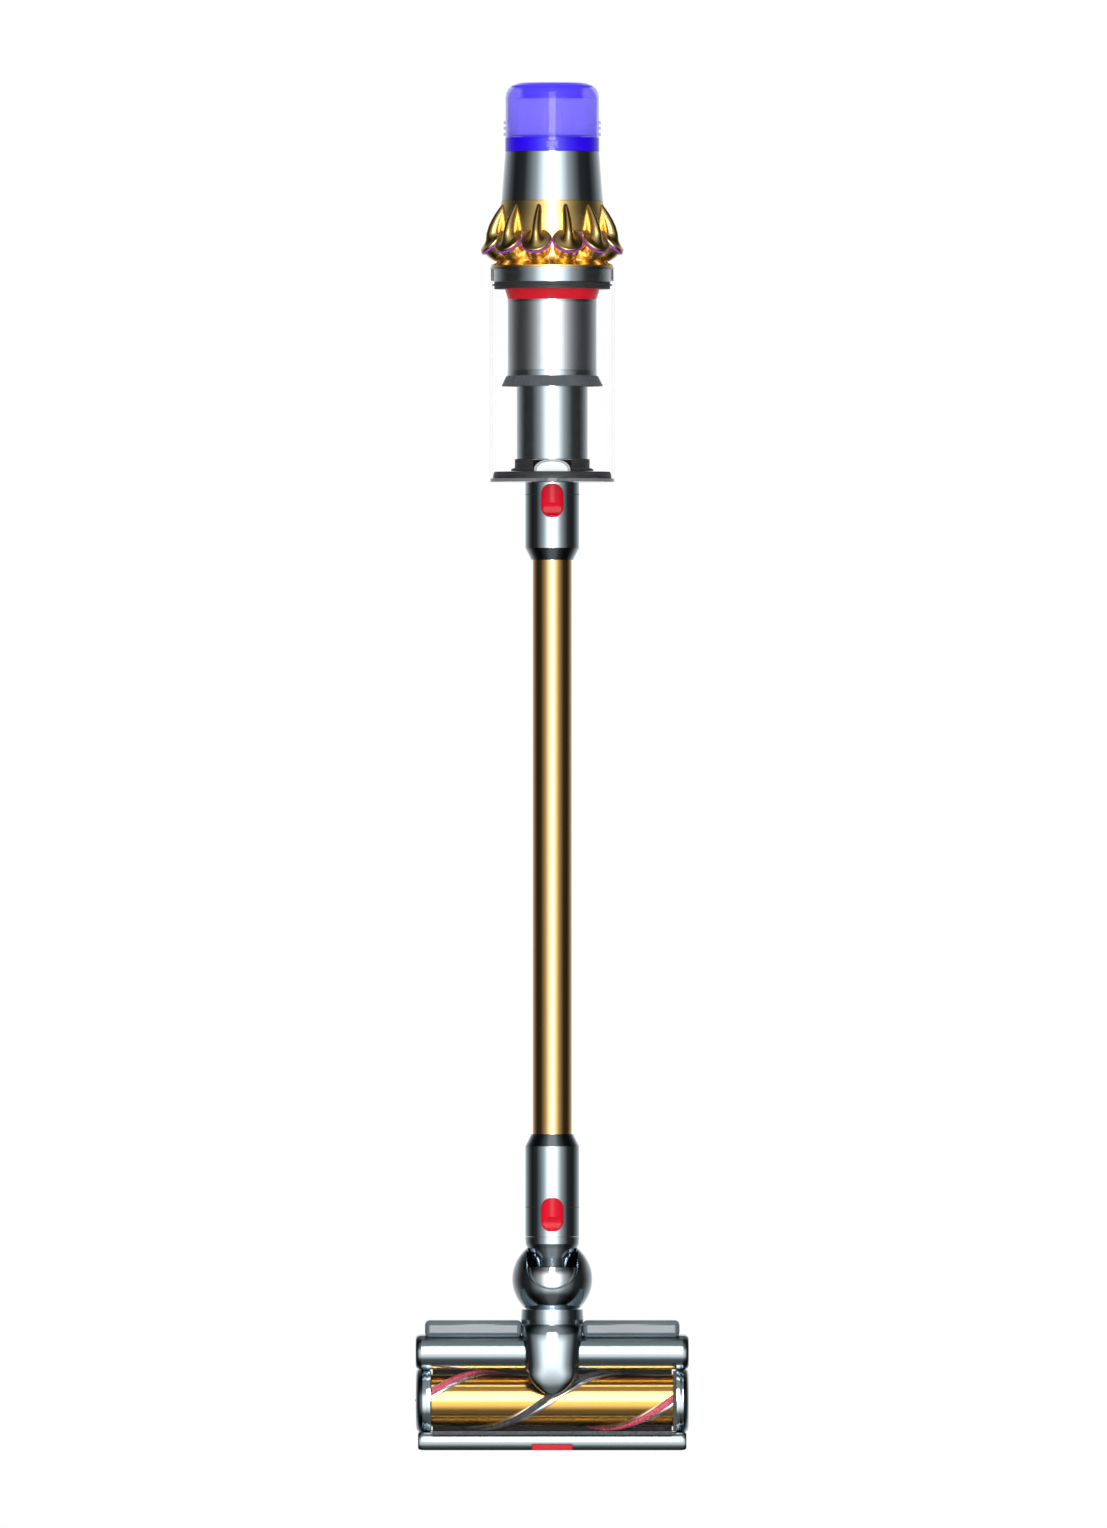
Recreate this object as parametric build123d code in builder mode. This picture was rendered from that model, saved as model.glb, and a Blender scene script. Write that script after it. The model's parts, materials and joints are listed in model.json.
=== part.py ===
"""A cordless upright vacuum cleaner with a roller head, hanging from its wall dock.

Millimetres. The origin is the centre of the battery's lower end, where the dock
carries the machine. +Z runs up the wand, -Y faces the room, +Y faces the wall.
Heights are counted from the lowest edge of the head, and depths from the axis that
the wand, the bin, the cyclones and the motor share.
"""
from build123d import *
import os
from math import cos, radians, sin

# ---------------------------------------------------------------- driving dimensions
REST_HEIGHT = 1008.0      # the dock carries the battery this far above the head's edge
TUBE_Y = -165.0           # the shared axis stands this far in front of the battery
RUNNING_FIT = 0.05        # radial clearance of a shaft in its bearing

# motor, display and filter
HOUSING_BASE, HOUSING_TOP = 1167.8, 1213.6
HOUSING_R, HOUSING_TOP_R = 47.4, 43.9
HOUSING_WALL = 2.5
POST_R = 27.0
POST_TOP = 1276.0
FILTER_BASE, FILTER_TOP = 1213.9, 1278.1
FILTER_R = 43.7
FILTER_BORE_R = 27.5
FILTER_RIBS = (1230.0, 1235.7, 1241.0)
PLEATS = 48
BUTTON_DEPTH = 19.0       # the mode button sits this far behind the axis

# cyclones
CYCLONES = 12
CYCLONE_TILT = 45.0       # each cup leans in by this angle
DISC_R, DISC_DEPTH, DISC_HEIGHT = 14.8, 56.6, 1129.0
DISC_THICKNESS = 1.6
CUP_SECTIONS = ((0.8, 13.2), (8.0, 12.2), (14.0, 9.6))   # distance below the disc and radius
FOOT_R, FOOT_LENGTH = 7.0, 9.4
FINGER_LEAN = 17.0        # each finger leans back in towards the housing
FINGER_DEPTH, FINGER_HEIGHT, FINGER_R = 55.2, 1138.8, 5.4
FINGER_LENGTH, FINGER_TIP_R = 25.0, 3.0

# bin, shroud and dust collector
BIN_R, BIN_WALL = 58.6, 2.0
BIN_BASE, BIN_TOP = 908.6, 1103.0
SEAL_BASE, COLLAR_BASE, COLLAR_TOP = 1085.5, 1092.1, 1105.2
SHROUD_R, SHROUD_BASE, SHROUD_TOP = 41.4, 1004.2, 1075.8
SKIRT_BASE = 994.6
COLLECTOR_R, COLLECTOR_BASE = 33.2, 926.6
DOOR_R, DOOR_BASE, DOOR_TOP = 58.0, 905.1, 908.3
HINGE_DEPTH, HINGE_HEIGHT = 62.6, 906.5
HINGE_PIN_R = 1.5
INLET_HALF_WIDTH, INLET_FRONT = 17.0, -47.0

# wand
WAND_R, WAND_WALL = 18.2, 1.5
CUFF_R, CUFF_END_R = 25.2, 19.6
UPPER_JOINT, UPPER_SHOULDER, UPPER_END = 904.8, 843.4, 832.2
LOWER_JOINT, LOWER_SHOULDER, LOWER_END = 199.8, 284.2, 295.5
SOCKET_R, SOCKET_DEPTH = 20.6, 28.0
STUB_R, STUB_BORE_R = 19.4, 15.5
BUTTON_WIDTH, BUTTON_LENGTH = 20.0, 31.8
BUTTON_GAP = 0.4
UPPER_BUTTON, LOWER_BUTTON = 887.6, 220.4

# pitch ball and swivel
BALL_HEIGHT, BALL_R = 159.9, 37.4
YOKE_BORE_R, INNER_BALL_R = 34.4, 33.8
CAP_PLANE = 27.0
PITCH_RANGE = 64.0
PITCH_PIN_R = 4.0
YOKE_FLAT = 131.8
COLLAR_LOW, COLLAR_HIGH = 117.8, 131.6
SWIVEL_R, SWIVEL_BORE_R = 21.5, 17.0

# cleaner head
HEAD_HALF = 127.6
SOLE = 38.0               # depth of the sole's face
BAR_BASE, BAR_TOP = 75.4, 107.5
STRIP_TOP, STRIP_HALF = 121.5, 119.0
BUMPER_TOP, BUMPER_HALF = 16.9, 125.4
ROLLER_DEPTH, ROLLER_HEIGHT = 11.0, 46.3
CORE_R, BRISTLE_R = 24.5, 28.7
ROLLER_LEFT, ROLLER_RIGHT = -113.4, 114.6
WINDOW_R, WINDOW_WALL = 33.5, 1.8
HELIX_PITCH = 236.0
STRIPS = 2
AXLE_R = 4.0
WHEEL_R, WHEEL_HALF = 5.8, 3.5
WHEEL_DEPTH, WHEEL_HEIGHT, WHEEL_SIDE = 33.2, 96.0, 62.0

# handle and battery
BATTERY_HALF = 38.0
BATTERY_FRONT, BATTERY_BACK = 138.0, 192.0
BATTERY_TOP = 1148.0
BATTERY_WALL = 2.5
CELL_R, CELL_LENGTH = 9.2, 65.0
GRIP_HALF = 17.5
GRIP_WALL = 2.5

os.makedirs("parts", exist_ok=True)

# ---------------------------------------------------------------- planes and helpers
TUBE_AXIS = Axis((0, TUBE_Y, 0), (0, 0, 1))
SECTION = Plane(origin=(0, TUBE_Y, -REST_HEIGHT), x_dir=(1, 0, 0), z_dir=(0, -1, 0))
SIDE = Plane(origin=(0, TUBE_Y, -REST_HEIGHT), x_dir=(0, 1, 0), z_dir=(1, 0, 0))
PITCH_AXIS = Axis((0, TUBE_Y, BALL_HEIGHT - REST_HEIGHT), (-1, 0, 0))


def level(height):
    """The horizontal plane at a height, centred on the tube axis."""
    return Plane(origin=(0, TUBE_Y, height - REST_HEIGHT), x_dir=(1, 0, 0), z_dir=(0, 0, 1))


def front(depth):
    """The upright plane at a depth, drawn as (x, height) and facing the room."""
    return Plane(origin=(0, TUBE_Y + depth, -REST_HEIGHT), x_dir=(1, 0, 0), z_dir=(0, -1, 0))


def place(x, depth, height):
    """A point given by its distance from the tube axis and its height."""
    return Vector(x, TUBE_Y + depth, height - REST_HEIGHT)


def turn(*outline, mode=Mode.ADD, plane=SECTION):
    """Revolve an outline of (radius, height) points about the tube axis."""
    with BuildSketch(plane) as profile:
        with BuildLine():
            Polyline(*outline, close=True)
        make_face()
    revolve(profile.sketch, axis=TUBE_AXIS, mode=mode)


def ring(outer, inner, low, high, mode=Mode.ADD):
    """A plain ring about the tube axis; an inner radius of 0 makes a disc."""
    turn((inner, low), (outer, low), (outer, high), (inner, high), mode=mode)


def bar(outline, low_x, high_x, mode=Mode.ADD):
    """Extrude an outline of (depth, height) points from one x to another."""
    with BuildSketch(SIDE.offset(low_x)) as profile:
        with BuildLine():
            Polyline(*outline, close=True)
        make_face()
    extrude(profile.sketch, amount=high_x - low_x, mode=mode)


def block(x, depth, height, mode=Mode.ADD):
    """A box between the given (low, high) pairs."""
    corners = ((depth[0], height[0]), (depth[1], height[0]), (depth[1], height[1]), (depth[0], height[1]))
    bar(corners, x[0], x[1], mode=mode)


def cross_rod(radius, depth, height, low_x, high_x, mode=Mode.ADD):
    """A round rod along X."""
    with BuildSketch(SIDE.offset(low_x)) as profile:
        with Locations((depth, height)):
            Circle(radius)
    extrude(profile.sketch, amount=high_x - low_x, mode=mode)


def upright_rod(radius, x, depth, low, high, mode=Mode.ADD):
    """A round rod along Z."""
    with BuildSketch(level(low)) as profile:
        with Locations((x, depth)):
            Circle(radius)
    extrude(profile.sketch, amount=high - low, mode=mode)


def stadium_block(width, length, height, near, far, mode=Mode.ADD):
    """An upright stadium, extruded from one depth back to another."""
    with BuildSketch(front(far)) as profile:
        with Locations((0, height)):
            SlotOverall(length, width, rotation=90)
    extrude(profile.sketch, amount=far - near, mode=mode)


def save(part, name):
    part.label = name
    export_step(part, f"parts/{name}.step")


# ---------------------------------------------------------------- motor housing
with BuildPart() as motor_housing:
    turn(
        (HOUSING_R - HOUSING_WALL, HOUSING_BASE), (HOUSING_R, HOUSING_BASE),
        (HOUSING_TOP_R, HOUSING_TOP), (POST_R + 3, HOUSING_TOP), (POST_R + 3, HOUSING_TOP - 2.2),
        (HOUSING_TOP_R - HOUSING_WALL, HOUSING_TOP - 2.2),
    )
save(motor_housing.part, "motor_housing")

with BuildPart() as display_bezel:
    turn(
        (POST_R - 2.4, HOUSING_TOP - 4.4), (POST_R + 6, HOUSING_TOP - 4.4),
        (POST_R + 6, HOUSING_TOP - 2.4), (POST_R, HOUSING_TOP - 2.4), (POST_R, POST_TOP),
        (POST_R - 2, POST_TOP), (POST_R - 2, POST_TOP - 10), (0, POST_TOP - 10),
        (0, POST_TOP - 13), (POST_R - 2.4, POST_TOP - 13),
    )
save(display_bezel.part, "display_bezel")

with BuildPart() as display_window:
    ring(POST_R - 2.1, 0, POST_TOP - 2.6, POST_TOP - 0.6)
    upright_rod(4.3, 0, BUTTON_DEPTH, POST_TOP - 3, POST_TOP, mode=Mode.SUBTRACT)
save(display_window.part, "display_window")

with BuildPart() as mode_button:
    upright_rod(3.9, 0, BUTTON_DEPTH, POST_TOP - 7.6, POST_TOP + 0.6)
    fillet(mode_button.faces().sort_by(Axis.Z)[-1].edges(), 0.8)
save(mode_button.part, "mode_button")

# ---------------------------------------------------------------- filter
with BuildPart() as filter_frame:
    turn(
        (FILTER_BORE_R, 1228), (FILTER_BORE_R, FILTER_TOP), (31.5, FILTER_TOP), (FILTER_R - 5.6, 1275.6),
        (FILTER_R - 2.6, 1272.8), (FILTER_R - 0.7, 1269.0), (FILTER_R, 1264.5), (FILTER_R, 1226.7),
        (FILTER_R - 0.2, FILTER_BASE), (FILTER_R - 4, FILTER_BASE), (FILTER_R - 4, 1225.5),
        (FILTER_R - 1.8, 1228), (FILTER_R - 1.8, 1264), (FILTER_R - 3.2, 1268.6), (37.2, 1272.5),
        (31.5, 1275.6), (FILTER_BORE_R + 1.8, 1275.6),
        (FILTER_BORE_R + 1.8, 1228),
    )
    for height in FILTER_RIBS:
        for middle in (0, 180):
            with BuildSketch(level(height - 1.4)) as rib:
                with BuildLine():
                    CenterArc((0, 0), FILTER_R + 1.9, middle - 44, 88)
                    CenterArc((0, 0), FILTER_R - 0.4, middle - 44, 88)
                    for edge in (middle - 44, middle + 44):
                        PolarLine((cos(radians(edge)) * (FILTER_R - 0.4),
                                   sin(radians(edge)) * (FILTER_R - 0.4)), 2.3, edge)
                make_face()
            extrude(amount=2.8)
save(filter_frame.part, "filter_frame")

with BuildPart() as filter_media:
    with BuildSketch(level(1229.0)):
        with BuildLine():
            points = []
            for index in range(2 * PLEATS):
                radius = 40.6 if index % 2 else 33.5
                angle = 180.0 * index / PLEATS
                points.append((radius * cos(radians(angle)), radius * sin(radians(angle))))
            Polyline(*points, close=True)
        make_face()
        Circle(31.0, mode=Mode.SUBTRACT)
    extrude(amount=34)
save(filter_media.part, "filter_media")


# ---------------------------------------------------------------- cyclones
def cyclone_plane(angle, depth, height, lean):
    """A plane on one cyclone, whose normal leans outwards by the given angle."""
    out = Vector(cos(radians(angle)), sin(radians(angle)), 0)
    across = Vector(-sin(radians(angle)), cos(radians(angle)), 0)
    normal = out * sin(radians(lean)) + Vector(0, 0, cos(radians(lean)))
    return Plane(origin=Vector(0, TUBE_Y, height - REST_HEIGHT) + out * depth, x_dir=across, z_dir=normal)


cyclone_angles = [-90 + 180 / CYCLONES + index * 360 / CYCLONES for index in range(CYCLONES)]
half_disc = DISC_THICKNESS / 2

with BuildPart() as cyclone_gasket:
    for angle in cyclone_angles:
        with Locations(cyclone_plane(angle, DISC_DEPTH, DISC_HEIGHT, CYCLONE_TILT)):
            Cylinder(DISC_R, DISC_THICKNESS)
save(cyclone_gasket.part, "cyclone_gasket")

with BuildPart() as cyclone_upper:
    turn(
        (44.5, 1141), (50.2, 1141), (50.0, 1146), (49.0, 1156), (HOUSING_R, HOUSING_BASE - 0.2),
        (44.5, HOUSING_BASE - 0.2), plane=SIDE,
    )
    for angle in cyclone_angles:
        disc = cyclone_plane(angle, DISC_DEPTH, DISC_HEIGHT, CYCLONE_TILT).offset(half_disc)
        with BuildSketch(disc) as rim:
            Circle(DISC_R - 0.4)
        extrude(rim.sketch, amount=1.4)
        with BuildSketch(disc) as foot:
            Circle(FOOT_R)
        extrude(foot.sketch, amount=FOOT_LENGTH)
        finger = cyclone_plane(angle, FINGER_DEPTH, FINGER_HEIGHT, -FINGER_LEAN)
        with BuildSketch(finger) as root:
            Circle(FINGER_R)
        with BuildSketch(finger.offset(FINGER_LENGTH)) as tip:
            Circle(FINGER_TIP_R)
        loft([root.sketch.face(), tip.sketch.face()])
save(cyclone_upper.part, "cyclone_upper")

with BuildPart() as cyclone_lower:
    turn(
        (44.0, COLLAR_TOP + 0.2), (57.0, COLLAR_TOP + 0.2), (57.0, 1108.4), (52.0, 1110.4),
        (48.5, 1116), (47.5, 1124), (44.0, 1124), plane=SIDE,
    )
    for angle in cyclone_angles:
        disc = cyclone_plane(angle, DISC_DEPTH, DISC_HEIGHT, CYCLONE_TILT).offset(-half_disc)
        with BuildSketch(disc) as rim:
            Circle(DISC_R - 0.8)
        extrude(rim.sketch, amount=-1.2)
        sections = []
        for drop, radius in CUP_SECTIONS:
            with BuildSketch(disc.offset(-drop)) as cup_section:
                Circle(radius)
            sections.append(cup_section.sketch.face())
        loft(sections)
save(cyclone_lower.part, "cyclone_lower")

# ---------------------------------------------------------------- collar, shroud, collector
with BuildPart() as bin_collar:
    turn(
        (46, COLLAR_BASE), (55.4, COLLAR_BASE), (55.4, 1103.2), (58.2, 1103.5), (58.2, COLLAR_TOP),
        (46, COLLAR_TOP),
    )
    block((-9, 9), (50, 63), (1103.5, COLLAR_TOP))
    block((-9, 9), (59.4, 63), (1042, 1104))
    block((-4.4, 4.4), (61, 64), (1044, 1098), mode=Mode.SUBTRACT)
save(bin_collar.part, "bin_collar")

with BuildPart() as bin_seal:
    turn(
        (40, SEAL_BASE), (54.2, SEAL_BASE), (54.2, 1088.2), (56.2, 1088.8), (56.2, 1089.8),
        (54.2, 1090.2), (54.2, COLLAR_BASE), (40, COLLAR_BASE),
    )
save(bin_seal.part, "bin_seal")

with BuildPart() as shroud_ring:
    turn((38.5, SHROUD_TOP), (SHROUD_R, SHROUD_TOP), (44.4, SEAL_BASE), (38.5, SEAL_BASE))
save(shroud_ring.part, "shroud_ring")

with BuildPart() as mesh_shroud:
    ring(SHROUD_R, SHROUD_R - 1.2, SHROUD_BASE, SHROUD_TOP)
save(mesh_shroud.part, "mesh_shroud")

with BuildPart() as shroud_skirt:
    turn(
        (COLLECTOR_R + 0.2, 1000.6), (40.2, 1000.6), (45.2, SKIRT_BASE), (47.2, SKIRT_BASE),
        (42.5, SHROUD_BASE), (38.5, SHROUD_BASE), (38.5, 1002.6), (COLLECTOR_R + 0.2, 1002.6),
    )
save(shroud_skirt.part, "shroud_skirt")

with BuildPart() as dust_collector:
    ring(COLLECTOR_R, COLLECTOR_R - 1.8, COLLECTOR_BASE, 1062)
save(dust_collector.part, "dust_collector")

with BuildPart() as collector_gasket:
    turn(
        (30.5, 915.4), (38.5, 915.4), (38.5, 917.0), (35.0, 918.4), (35.0, COLLECTOR_BASE - 0.2),
        (30.5, COLLECTOR_BASE - 0.2),
    )
    block((-INLET_HALF_WIDTH - 1, INLET_HALF_WIDTH + 1), (-45, 0), (915, 927), mode=Mode.SUBTRACT)
save(collector_gasket.part, "collector_gasket")

# ---------------------------------------------------------------- motor
with BuildPart() as motor_bucket:
    turn(
        (8.2, 1118), (34, 1118), (34, 1190), (42.4, 1190), (42.4, 1192), (32, 1192), (32, 1120),
        (8.2, 1120),
    )
save(motor_bucket.part, "motor_bucket")

with BuildPart() as motor_stator:
    ring(27, 14.6, 1140, 1168)
save(motor_stator.part, "motor_stator")

with BuildPart() as motor_bearings:
    ring(8, 2.5 + RUNNING_FIT, 1120.2, 1125)
    ring(8, 2.5 + RUNNING_FIT, 1170.5, 1175)
save(motor_bearings.part, "motor_bearings")

with BuildPart() as motor_rotor:
    ring(2.5, 0, 1120.6, 1190)
    ring(13.8, 0, 1141, 1167)
save(motor_rotor.part, "motor_rotor")

with BuildPart() as impeller:
    turn((2.5, 1178), (25, 1178), (25, 1179.4), (12, 1181.4), (6, 1188), (2.5, 1188))
    for index in range(9):
        blade = Plane(origin=(0, TUBE_Y, 1179 - REST_HEIGHT), z_dir=(0, 0, 1)).rotated((0, 0, index * 40))
        with BuildSketch(blade):
            with Locations((15, 0)):
                Rectangle(18, 1.2, rotation=18)
        extrude(amount=5.5)
save(impeller.part, "impeller")

# ---------------------------------------------------------------- grip, trigger
grip_outline = (
    (44, 1206), (110, 1199), (160, 1184), (186, 1172), (191, 1160), (191, BATTERY_TOP + 0.2),
    (139, BATTERY_TOP + 0.2), (128, 1153), (110, 1158), (72, 1162), (44, 1170),
)
cavity_outline = (
    (40, 1203), (110, 1196), (159, 1181.2), (184, 1170), (188.4, 1160), (188.4, 1151),
    (141, 1151), (129, 1156), (110, 1161), (73, 1165), (40, 1173),
)
with BuildPart() as grip:
    bar(grip_outline, -GRIP_HALF, GRIP_HALF)
    long_edges = grip.edges().filter_by(GeomType.LINE).group_by(Axis.X)
    fillet([edge for edge in long_edges[0] + long_edges[-1]
            if abs(edge.tangent_at(0).Z) < 0.9 and edge.center().Z < 1205 - REST_HEIGHT
            and edge.center().Y > TUBE_Y + 50 and edge.center().Z > BATTERY_TOP + 1 - REST_HEIGHT], 7)
    bar(cavity_outline, -GRIP_HALF + GRIP_WALL + 2, GRIP_HALF - GRIP_WALL - 2, mode=Mode.SUBTRACT)
    turn(
        (0, 1100), (56, 1100), (HOUSING_R + 0.3, HOUSING_BASE - 2), (HOUSING_TOP_R + 0.1, HOUSING_TOP),
        (0, HOUSING_TOP), mode=Mode.SUBTRACT,
    )
    block((-6, 6), (73, 95), (1150, 1167), mode=Mode.SUBTRACT)
for name, keep in (("grip_left", Keep.BOTTOM), ("grip_right", Keep.TOP)):
    with BuildPart() as half:
        add(grip.part)
        split(bisect_by=Plane.YZ, keep=keep)
    save(half.part, name)

with BuildPart() as trigger:
    trigger_outline = (
        (75.4, 1170), (92.6, 1170), (92.6, 1159), (89.5, 1149), (85, 1144.5), (80.5, 1147), (75.4, 1158),
    )
    bar(trigger_outline, -5.4, 5.4)
    fillet(trigger.edges().filter_by(Axis.X).sort_by(Axis.Z)[0:3], 2)
save(trigger.part, "trigger")

with BuildPart() as trigger_spring:
    spring_path = Helix(1.6, 9.6, 3.0, center=place(0, 84, 1170.7))
    with BuildSketch(Plane(origin=spring_path @ 0, z_dir=spring_path % 0)):
        Circle(0.35)
    sweep(path=spring_path, is_frenet=True)
save(trigger_spring.part, "trigger_spring")

# ---------------------------------------------------------------- battery
with BuildPart() as battery_case:
    block((-BATTERY_HALF, BATTERY_HALF), (BATTERY_FRONT, BATTERY_BACK), (REST_HEIGHT, BATTERY_TOP - 6))
    fillet(battery_case.edges().filter_by(Axis.Z), 9)
    fillet(battery_case.faces().sort_by(Axis.Z)[0].edges(), 3)
    with BuildSketch(level(REST_HEIGHT + BATTERY_WALL)):
        with Locations((0, (BATTERY_FRONT + BATTERY_BACK) / 2)):
            RectangleRounded(2 * (BATTERY_HALF - BATTERY_WALL), BATTERY_BACK - BATTERY_FRONT - 2 * BATTERY_WALL, 6.5)
    extrude(amount=BATTERY_TOP - REST_HEIGHT, mode=Mode.SUBTRACT)
    upright_rod(5.5, 0, 181, REST_HEIGHT + 1, REST_HEIGHT + 10.5)
    upright_rod(3.0, 0, 181, REST_HEIGHT - 1, REST_HEIGHT + 9, mode=Mode.SUBTRACT)
save(battery_case.part, "battery_case")

with BuildPart() as battery_lid:
    with BuildSketch(level(BATTERY_TOP - 5.8)):
        with Locations((0, (BATTERY_FRONT + BATTERY_BACK) / 2)):
            RectangleRounded(2 * BATTERY_HALF, BATTERY_BACK - BATTERY_FRONT, 9)
    extrude(amount=5.8)
    fillet(battery_lid.faces().sort_by(Axis.Z)[-1].edges(), 2)
save(battery_lid.part, "battery_lid")

with BuildPart() as battery_cells:
    for column, count in ((152.2, 4), (177.0, 3)):
        for index in range(count):
            cross_rod(CELL_R, column, 1038 + index * 25 + (count == 3) * 12, -CELL_LENGTH / 2, CELL_LENGTH / 2)
save(battery_cells.part, "battery_cells")

# ---------------------------------------------------------------- bin
with BuildPart() as bin_release_lever:
    block((-8, 8), (63.3, 67.5), (1068, 1096))
    block((-4, 4), (61.4, 63.4), (1070, 1094))
    fillet(bin_release_lever.faces().sort_by(Axis.Y)[-1].edges(), 1.5)
save(bin_release_lever.part, "bin_release_lever")

with BuildPart() as clear_bin:
    ring(BIN_R, BIN_R - BIN_WALL, BIN_BASE, BIN_TOP)
    with BuildSketch(SIDE.offset(-6)) as lug:
        with Locations((HINGE_DEPTH, HINGE_HEIGHT)):
            Circle(3.4)
        with BuildLine():
            Polyline(
                (57.6, BIN_BASE + 1), (58.2, HINGE_HEIGHT), (66, HINGE_HEIGHT), (66, 916), (59, 926),
                (57.6, 926), close=True,
            )
        make_face()
    extrude(lug.sketch, amount=12)
    cross_rod(HINGE_PIN_R, HINGE_DEPTH, HINGE_HEIGHT, -7, 7, mode=Mode.SUBTRACT)
    ring(BIN_R - BIN_WALL, 0, BIN_BASE - 8, BIN_TOP, mode=Mode.SUBTRACT)
save(clear_bin.part, "clear_bin")

with BuildPart() as bin_hinge_pin:
    cross_rod(HINGE_PIN_R, HINGE_DEPTH, HINGE_HEIGHT, -12.6, 12.6)
save(bin_hinge_pin.part, "bin_hinge_pin")

with BuildPart() as bin_door:
    ring(DOOR_R, 14.5, DOOR_BASE, DOOR_TOP)
    block((-6.6, 6.6), (56.9, 70), (900, 912), mode=Mode.SUBTRACT)
    for side in (-1, 1):
        low = min(side * 6.6, side * 12)
        with BuildSketch(SIDE.offset(low)) as ear:
            with Locations((HINGE_DEPTH, HINGE_HEIGHT)):
                Circle(3.3)
            with BuildLine():
                Polyline(
                    (55, DOOR_BASE), (HINGE_DEPTH, DOOR_BASE), (HINGE_DEPTH, DOOR_TOP), (55, DOOR_TOP),
                    close=True,
                )
            make_face()
        extrude(ear.sketch, amount=5.4)
        cross_rod(HINGE_PIN_R + RUNNING_FIT, HINGE_DEPTH, HINGE_HEIGHT, low - 1, low + 7, mode=Mode.SUBTRACT)
    ring(STUB_R, STUB_BORE_R, DOOR_BASE - 13, DOOR_BASE + 0.5)
save(bin_door.part, "bin_door")

with BuildPart() as door_seal:
    turn((50.5, DOOR_TOP + 0.1), (55.3, DOOR_TOP + 0.1), (55.3, 911), (54.2, 914.6), (50.5, 914.6))
save(door_seal.part, "door_seal")

with BuildPart() as inlet_duct:
    with BuildSketch(level(DOOR_TOP + 0.1)):
        Circle(INLET_HALF_WIDTH)
        with Locations((0, INLET_FRONT / 2)):
            Rectangle(2 * INLET_HALF_WIDTH, -INLET_FRONT)
    extrude(amount=926.2 - DOOR_TOP - 0.1)
    fillet(inlet_duct.edges().filter_by(Axis.Y).group_by(Axis.Z)[-1], 8)
    with BuildSketch(level(DOOR_TOP + 2)):
        Circle(14.5)
        with Locations((0, INLET_FRONT / 2)):
            Rectangle(29, -INLET_FRONT - 3)
    extrude(amount=12, mode=Mode.SUBTRACT)
    upright_rod(14.5, 0, 0, DOOR_TOP - 1, DOOR_TOP + 3, mode=Mode.SUBTRACT)
    block((-12, 12), (INLET_FRONT - 2, INLET_FRONT + 5), (DOOR_TOP + 3, 920), mode=Mode.SUBTRACT)
save(inlet_duct.part, "inlet_duct")


# ---------------------------------------------------------------- wand
def button_pocket(height):
    """Sink a stadium pocket for a release button in the front of a cuff."""
    with BuildSketch(front(0)) as pocket:
        with Locations((0, height)):
            SlotOverall(BUTTON_LENGTH + 2 * BUTTON_GAP, BUTTON_WIDTH + 2 * BUTTON_GAP, rotation=90)
    cutter = extrude(pocket.sketch, amount=CUFF_R + 5, mode=Mode.PRIVATE)
    core = Pos(0, TUBE_Y, height - REST_HEIGHT) * Cylinder(SOCKET_R + 1.0, 60, mode=Mode.PRIVATE)
    add(cutter - core, mode=Mode.SUBTRACT)


def release_button(height):
    """A stadium button whose face follows the cuff, with a thumb scoop in its lower half."""
    stadium_block(BUTTON_WIDTH, BUTTON_LENGTH, height, -CUFF_R - 5, 0)
    ring(CUFF_R + 0.3, 0, height - 30, height + 30, mode=Mode.INTERSECT)
    ring(CUFF_R - 2.0, 0, height - 30, height + 30, mode=Mode.SUBTRACT)
    cross_rod(14, -CUFF_R - 12.9, height - 8, -20, 20, mode=Mode.SUBTRACT)


with BuildPart() as wand_tube:
    ring(WAND_R, WAND_R - WAND_WALL, LOWER_JOINT + SOCKET_DEPTH + 4.2, UPPER_JOINT - SOCKET_DEPTH - 4.2)
save(wand_tube.part, "wand_tube")

with BuildPart() as upper_cuff:
    turn(
        (WAND_R + RUNNING_FIT, UPPER_END), (CUFF_END_R, UPPER_END), (CUFF_R, UPPER_SHOULDER),
        (CUFF_R, UPPER_JOINT), (SOCKET_R, UPPER_JOINT), (SOCKET_R, UPPER_JOINT - SOCKET_DEPTH),
        (STUB_BORE_R, UPPER_JOINT - SOCKET_DEPTH), (STUB_BORE_R, UPPER_JOINT - SOCKET_DEPTH - 4),
        (WAND_R + RUNNING_FIT, UPPER_JOINT - SOCKET_DEPTH - 4),
    )
    button_pocket(UPPER_BUTTON)
save(upper_cuff.part, "upper_cuff")

with BuildPart() as upper_release_button:
    release_button(UPPER_BUTTON)
save(upper_release_button.part, "upper_release_button")

with BuildPart() as lower_cuff:
    turn(
        (WAND_R + RUNNING_FIT, LOWER_END), (CUFF_END_R, LOWER_END), (CUFF_R, LOWER_SHOULDER),
        (CUFF_R, LOWER_JOINT), (SOCKET_R, LOWER_JOINT), (SOCKET_R, LOWER_JOINT + SOCKET_DEPTH),
        (STUB_BORE_R, LOWER_JOINT + SOCKET_DEPTH), (STUB_BORE_R, LOWER_JOINT + SOCKET_DEPTH + 4),
        (WAND_R + RUNNING_FIT, LOWER_JOINT + SOCKET_DEPTH + 4),
    )
    button_pocket(LOWER_BUTTON)
save(lower_cuff.part, "lower_cuff")

with BuildPart() as lower_release_button:
    release_button(LOWER_BUTTON)
save(lower_release_button.part, "lower_release_button")

# ---------------------------------------------------------------- neck and ball
with BuildPart() as neck_tube:
    turn(
        (STUB_BORE_R, LOWER_JOINT + 25), (STUB_R, LOWER_JOINT + 25), (STUB_R, 199.4), (25.2, 199.4),
        (24.9, 193.0), (23.4, 189.0), (17.2, 171.5), (13.5, 171.5), (STUB_BORE_R, 185),
    )
save(neck_tube.part, "neck_tube")

neck_slope = (23.4 - 17.2) / (189.0 - 171.5)


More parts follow.
